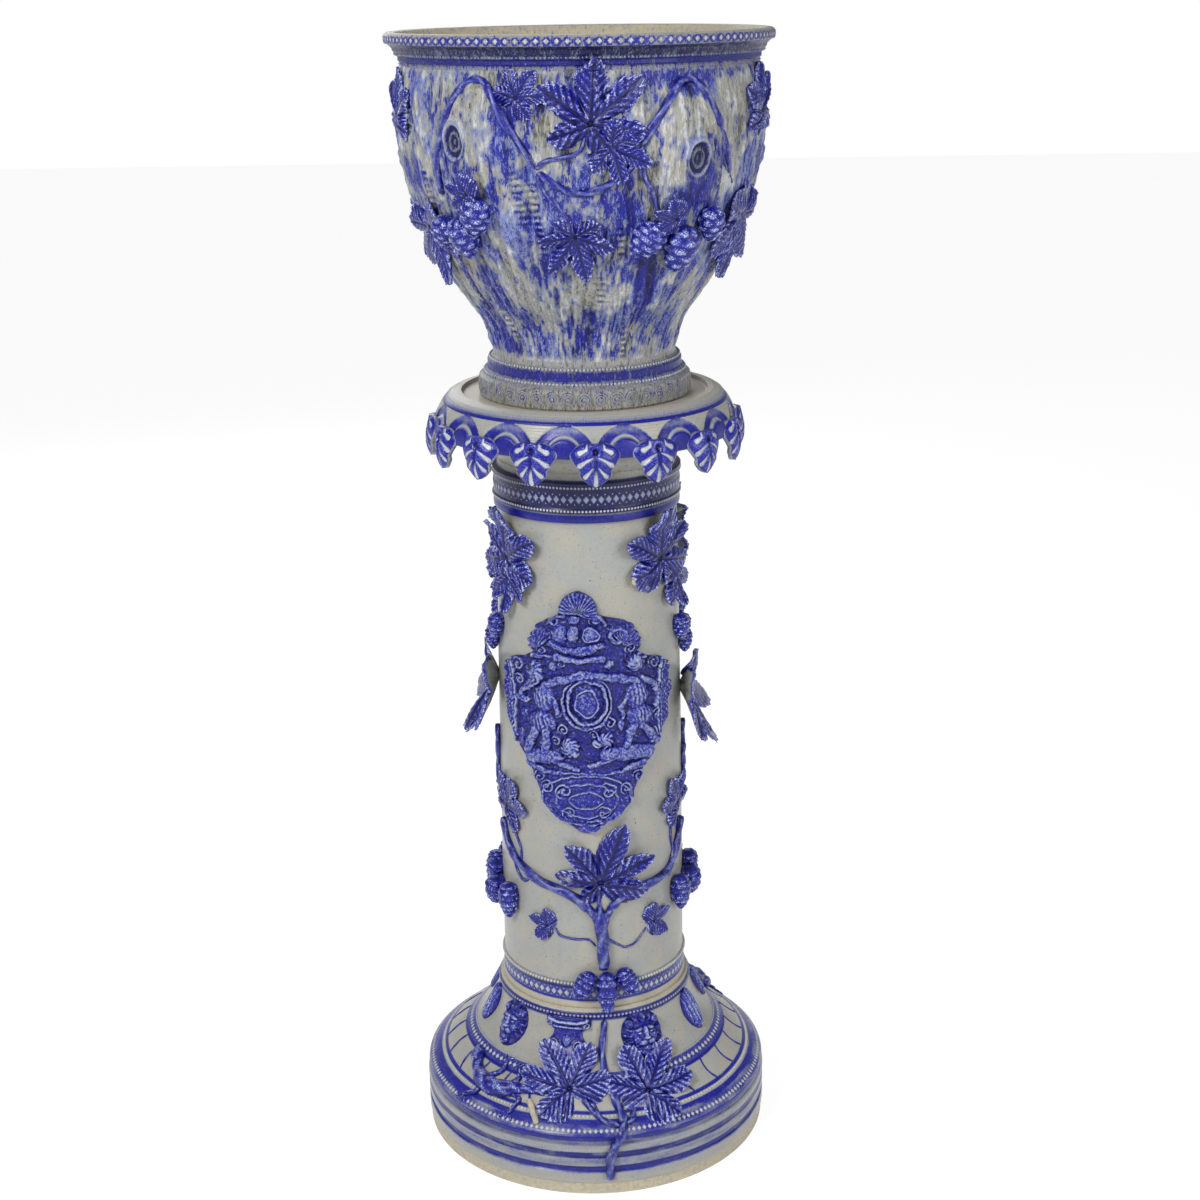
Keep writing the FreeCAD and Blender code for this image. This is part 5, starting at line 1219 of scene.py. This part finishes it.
def stoneware(name, speckle=0.5, streak=1.0, wash=0.5, gloss=0.26, mottle=0.6, dirt_and_shade=0.75):
    """Salt glaze over cobalt: the cobalt runs thin on the relief and pools in the hollows, where its deepest colour is
    also painted shade. The grey gets a painted highlight on the crests, and dirt with painted shade in the hollows.
    """
    g = Graph(name)
    glaze = g.node("ShaderNodeAttribute", attribute_name="glaze").outputs["Color"]
    parts = g.node("ShaderNodeSeparateColor", {"Color": glaze})
    cobalt, relief, bare = parts.outputs[0], parts.outputs[1], parts.outputs[2]
    place = g.node("ShaderNodeTexCoord").outputs["Object"]
    drawn = g.node("ShaderNodeMapping", {"Vector": place, "Scale": (1.0, 1.0, streak)}).outputs[0]
    broad = g.noise(place, 38.0, 3.0)
    middle = g.noise(drawn, 260.0, 5.0, 0.68)
    fine = g.noise(place if streak == 1.0 else drawn, 950.0, 2.0, 0.6)
    grain = g.math("SUBTRACT", middle, 0.5)
    dust = g.math("SUBTRACT", fine, 0.5)
    speck = g.math("ADD", grain, g.math("MULTIPLY", dust, 0.6))
    painted = g.math("ADD", cobalt, g.math("MULTIPLY", speck, mottle * 2.2))
    amount = g.step(painted, 0.5 - 0.14 / mottle, 0.5 + 0.14 / mottle)
    height = g.math("ADD", relief, g.math("ADD", grain, g.math("MULTIPLY", dust, 0.8)))
    # cobalt pools dark in the hollows; its deepest colour also stands in as painted shade where the relief is set low
    blue = g.mix(g.step(g.math("ADD", relief, grain), 0.1, 0.6), COBALT_POOLED_AND_SHADED, COBALT)
    blue = g.mix(g.math("MULTIPLY", g.step(height, 0.5, 1.1), wash), blue, COBALT_THIN)
    flecks = g.step(g.math("ADD", relief, g.math("ADD", g.math("MULTIPLY", dust, 2.2), g.math("MULTIPLY", grain, 0.6))), 0.72, 1.0)
    blue = g.mix(g.math("MULTIPLY", flecks, speckle), blue, FLECK)
    grey = g.mix(g.step(broad, 0.35, 0.7), GREY, GREY_WARM)
    iron = g.math("MULTIPLY", g.step(g.noise(place, 420.0, 1.0), 0.29, 0.24), 0.7)
    grey = g.mix(iron, grey, DIRT_AND_SHADE)
    # height of the relief with grain: it sets a painted highlight on the crests, and dirt with painted shade in the
    # hollows
    painted_light_and_dirt_height = g.math("ADD", relief, g.math("ADD", g.math("MULTIPLY", grain, 0.8 if streak == 1.0 else 2.2),
                                        g.math("MULTIPLY", dust, 0.3 if streak == 1.0 else 1.4)))
    hollow_dirt_and_shade = g.step(painted_light_and_dirt_height, 0.5, 0.02)
    # painted highlight: the grey is made paler on the crests
    grey = g.mix(g.step(painted_light_and_dirt_height, 0.62, 1.1), grey, PAINTED_HIGHLIGHT)
    # dirt and painted shade: the grey darkened where the relief is low
    grey = g.mix(g.math("MULTIPLY", hollow_dirt_and_shade, dirt_and_shade), grey, DIRT_AND_SHADE)
    clay = g.mix(g.step(middle, 0.3, 0.7), CLAY, GREY_WARM)
    body = g.mix(bare, grey, clay)
    tint = g.math("MULTIPLY", g.step(cobalt, 0.0, 0.6), 0.5)
    body = g.mix(tint, body, srgb(104, 120, 164))
    colour = g.mix(amount, body, blue)
    rough = g.math("ADD", g.math("MULTIPLY", fine, 0.16), g.math("MULTIPLY", bare, 0.4))
    rough = g.math("ADD", rough, gloss)
    peel = g.node("ShaderNodeBump", {"Height": g.noise(place, 620.0, 3.0, 0.6), "Strength": 0.3, "Distance": 0.0006})
    drawn_bump = g.node("ShaderNodeBump", {"Height": middle, "Strength": 0.3 if streak == 1.0 else 1.0,
                                           "Distance": 0.0012 if streak == 1.0 else 0.0035,
                                           "Normal": peel.outputs[0]})
    shader = g.node("ShaderNodeBsdfPrincipled", {"Base Color": colour, "Roughness": rough, "Coat Weight": 0.12,
                                                 "Coat Roughness": 0.12, "Specular IOR Level": 0.4,
                                                 "Normal": drawn_bump.outputs[0]})
    g.node("ShaderNodeOutputMaterial", {"Surface": shader.outputs[0]})
    return g.material


MATERIALS = {
    "grey_stoneware": stoneware("stoneware_walls", 0.15, 1.0, 0.4, mottle=0.4),
    "bark": stoneware("stoneware_bark", 0.35, 0.2, 0.6, mottle=1.3, dirt_and_shade=0.9),
    "cobalt_skirt": stoneware("cobalt_skirt_glaze", 0.25, 1.0, 0.6, 0.2, mottle=0.5),
    "cobalt_leaves": stoneware("cobalt_leaf_glaze", 0.85, 1.0, 0.7, 0.22),
    "vine_stems": stoneware("vine_glaze", 0.1, 1.0, 0.55),
    "hop_cones": stoneware("hop_glaze", 1.0, 1.0, 0.8),
    "cobalt_ornament": stoneware("ornament_glaze", 0.75, 1.0, 0.8),
    "shield_relief": stoneware("shield_glaze", 0.5, 1.0, 0.9, 0.3),
}


# ---------------------------------------------------------------- pieces
def add_piece(name, one, body, slot, nodes, material=None):
    """Makes an object of a shape, which rides on a body and stands for CAD nodes."""
    points, faces, glaze = one
    mesh = bpy.data.meshes.new(name)
    mesh.vertices.add(len(points))
    mesh.vertices.foreach_set("co", (points * MM).astype(np.float32).ravel())
    corners = np.concatenate([f.ravel() for f in faces]).astype(np.int32)
    counts = np.concatenate([np.full(len(f), f.shape[1]) for f in faces])
    mesh.loops.add(len(corners))
    mesh.loops.foreach_set("vertex_index", corners)
    mesh.polygons.add(len(counts))
    mesh.polygons.foreach_set("loop_start", np.concatenate([[0], np.cumsum(counts)[:-1]]).astype(np.int32))
    mesh.polygons.foreach_set("use_smooth", np.ones(len(counts), bool))
    mesh.update(calc_edges=True)
    layer = mesh.color_attributes.new("glaze", "FLOAT_COLOR", "POINT")
    layer.data.foreach_set("color", np.column_stack([glaze, np.ones(len(glaze))]).astype(np.float32).ravel())
    mesh.materials.append(MATERIALS[material or slot])
    piece = bpy.data.objects.new(name, mesh)
    bpy.context.scene.collection.objects.link(piece)
    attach(piece, body)
    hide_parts(*nodes)
    return piece


def add_sprigs():
    """Leaves, hops, vines and ornaments, each with its twin half a turn round."""
    wrinkle = 0.0
    for wall, leaves, body in ((pot_wall, POT_LEAVES, "jardiniere"), (shaft_wall, COLUMN_LEAVES, "column"),
                               (shaft_wall, CURLED_LEAVES, "column"), (slope_wall, PLINTH_LEAVES, "plinth")):
        for name, (azimuth, height, size, turn, lift) in leaves.items():
            wrinkle += 3.7
            lobes = LEAFLET_LOBES if "leaflet" in name else POINTED_LOBES if "centre" in name else LOBES
            lobes = SPREAD_LOBES if name == "column_centre_leaf" else lobes
            one = leaf(wall.spot(azimuth, height), size, turn, lift, lobes, wrinkle,
                       wash=0.14 if body == "plinth" else 0.04)
            one = one if name in CURLED_LEAVES else with_twin(one)
            if name == "column_upper_right_leaf":
                one = chipped(one, polar(107.0, *CHIP), 8.0)
            add_piece(name + "_glazed", one, body, "cobalt_leaves", [name])
    for name, cones in HOP_CLUSTERS.items():
        on_pot = name.startswith("pot")
        wall, body = (pot_wall, "jardiniere") if on_pot else (shaft_wall, "column")
        shapes = [hop_cone(wall.spot(azimuth, height), length, radius, turn, on_pot)
                  for azimuth, height, length, radius, turn in cones]
        if on_pot:
            azimuth, height = cones[0][0] + (3.0 if cones[0][0] < 0 else 9.0), cones[0][1] + 2.0
            shapes.append(leaf(pot_wall.spot(azimuth - 5.0, height), 22.0, -70.0, 3.0, LOBES[:3], 1.3))
            shapes[-1] = (polar_shift(shapes[-1][0], 14.0), *shapes[-1][1:])
        add_piece(name + "_glazed", with_twin(join(shapes)), body, "hop_cones", [name])
    for wall, vines, body in ((pot_wall, POT_VINES, "jardiniere"), (shaft_wall, COLUMN_VINES, "column"),
                              (slope_wall, PLINTH_VINES, "plinth")):
        for name, (start, end, path) in vines.items():
            wrinkle += 3.7
            girth = TRUNK_GIRTH if name == "column_trunk" else (start, end)
            shapes = [creeper(wall, path, girth, sides=14, fluted=0.14, seed=wrinkle)]
            shapes += [creeper(wall, line, (radius, radius * 0.8), fluted=0.06, seed=wrinkle)
                       for owner, radius, line in TENDRILS if owner == name]
            add_piece(name + "_glazed", with_twin(join(shapes)), body, "vine_stems", [name])
    for maker, places in ((lion_mask, LION_MASKS), (fluted_shell, FLUTED_SHELLS),
                          (strap_ornament, {"plinth_strap_ornament": STRAP_ORNAMENT})):
        for name, (azimuth, height, half_width, half_height, crown) in places.items():
            one = maker(slope_wall.spot(azimuth, height), half_width, half_height, crown)
            add_piece(name + "_glazed", with_twin(one), "plinth", "cobalt_ornament", [name])
    stub = chipped(creeper(slope_wall, BROKEN_STUB, (3.6, 3.0), sides=12), polar(180.0, *BROKEN_STUB[1]), 60.0)
    add_piece("plinth_lizard_glazed", join([with_twin(lizard(slope_wall)), stub]), "plinth", "cobalt_ornament",
              ["plinth_lizard"])


def chipped(one, place, reach):
    """The shape with its glaze broken off round a place, down to the pale clay."""
    points, faces, glaze = one
    near = smooth(reach, 0.7 * reach, np.linalg.norm(points - place, axis=1))[:, None]
    return points, faces, glaze + near * (np.array([0.0, 0.8, 1.0]) - glaze)


def polar_shift(points, out):
    """Points moved away from the axis."""
    radius = np.hypot(points[:, 0], points[:, 1])
    scale = (radius + out) / radius
    return points * np.stack([scale, scale, np.ones_like(scale)], -1)


def add_object():
    add_piece("jardiniere_glazed", pot_shape(), "jardiniere", "grey_stoneware",
              ["jardiniere", "pot_left_stump", "pot_right_stump"], "bark")
    add_piece("column_glazed", column_shape(), "column", "grey_stoneware", ["column"])
    add_piece("capital_plate_glazed", plate_shape(), "column", "grey_stoneware",
              ["capital_plate", "capital_floor"])
    add_piece("plinth_glazed", plinth_shape(), "plinth", "grey_stoneware", ["plinth"])
    drops = join([hanging_leaf(DROP_FIRST + i * 360.0 / DROP_COUNT) for i in range(DROP_COUNT)])
    add_piece("leaf_skirt_glazed", drops, "column", "cobalt_skirt", ["leaf_skirt"])
    add_piece("shield_panel_glazed", with_twin(shield_panel(shaft_wall)), "column", "shield_relief",
              ["shield_panel", "shield_boss"])
    add_sprigs()


# ---------------------------------------------------------------- stage
CAMERA_PLACE, CAMERA_PITCH, CAMERA_ROLL, CAMERA_LENS = (0.01232, -2.0, 1.229), 17.498, -0.815, 59.55
FLOOR_HALF = 12.0


def add_floor():
    mesh = bpy.data.meshes.new("floor")
    mesh.from_pydata([(-FLOOR_HALF, -FLOOR_HALF, 0), (FLOOR_HALF, -FLOOR_HALF, 0), (FLOOR_HALF, FLOOR_HALF, 0),
                      (-FLOOR_HALF, FLOOR_HALF, 0)], [], [(0, 1, 2, 3)])
    g = Graph("floor")
    paths = g.node("ShaderNodeLightPath").outputs
    matte = g.node("ShaderNodeBsdfDiffuse", {"Color": (0.93, 0.93, 0.93, 1.0)}).outputs[0]
    glow = g.node("ShaderNodeEmission", {"Color": (1.0, 1.0, 1.0, 1.0), "Strength": 1.12}).outputs[0]
    seen = g.math("MULTIPLY", g.math("ADD", paths["Is Camera Ray"], paths["Is Glossy Ray"], True), 0.8)
    shader = g.node("ShaderNodeMixShader", {0: seen, 1: matte, 2: glow})
    g.node("ShaderNodeOutputMaterial", {"Surface": shader.outputs[0]})
    mesh.materials.append(g.material)
    floor = bpy.data.objects.new("floor", mesh)
    bpy.context.scene.collection.objects.link(floor)


def add_world(strength=0.28):
    world = bpy.data.worlds.new("studio")
    bpy.context.scene.world = world
    world.use_nodes = True
    nodes, links = world.node_tree.nodes, world.node_tree.links
    nodes.clear()
    paths = nodes.new("ShaderNodeLightPath").outputs
    seen = nodes.new("ShaderNodeMath")
    seen.operation, seen.use_clamp = "ADD", True
    links.new(paths["Is Camera Ray"], seen.inputs[0])
    links.new(paths["Is Transmission Ray"], seen.inputs[1])
    level = nodes.new("ShaderNodeMapRange")
    level.inputs["To Min"].default_value = strength
    level.inputs["To Max"].default_value = 1.0
    links.new(seen.outputs[0], level.inputs["Value"])
    back = nodes.new("ShaderNodeBackground")
    back.inputs["Color"].default_value = (1.0, 1.0, 1.0, 1.0)
    links.new(level.outputs["Result"], back.inputs["Strength"])
    out = nodes.new("ShaderNodeOutputWorld")
    links.new(back.outputs[0], out.inputs["Surface"])


def add_lamp(name, place, size, power, aim=(0.0, 0.0, 0.75)):
    light = bpy.data.lights.new(name, "AREA")
    light.size = size
    light.energy = power
    lamp = bpy.data.objects.new(name, light)
    bpy.context.scene.collection.objects.link(lamp)
    lamp.location = place
    direction = np.array(aim) - np.array(place)
    lamp.rotation_euler = Vector(direction).to_track_quat("-Z", "Y").to_euler()


def add_camera():
    data = bpy.data.cameras.new("camera")
    data.sensor_width = 36.0
    data.lens = CAMERA_LENS
    camera = bpy.data.objects.new("camera", data)
    bpy.context.scene.collection.objects.link(camera)
    camera.location = CAMERA_PLACE
    tilt = Matrix.Rotation(math.radians(90.0 - CAMERA_PITCH), 3, "X")
    roll = Matrix.Rotation(math.radians(CAMERA_ROLL), 3, "Z")
    camera.rotation_euler = (tilt @ roll).to_euler()
    bpy.context.scene.camera = camera


add_object()
add_floor()
add_world()
add_lamp("key", (-1.5, -2.2, 2.5), 1.0, 78.0)
add_lamp("fill", (2.1, -1.9, 1.5), 1.2, 34.0)
add_lamp("back", (-0.9, 2.9, 2.2), 2.2, 36.0)
add_camera()
bpy.context.scene.view_settings.view_transform = "Standard"
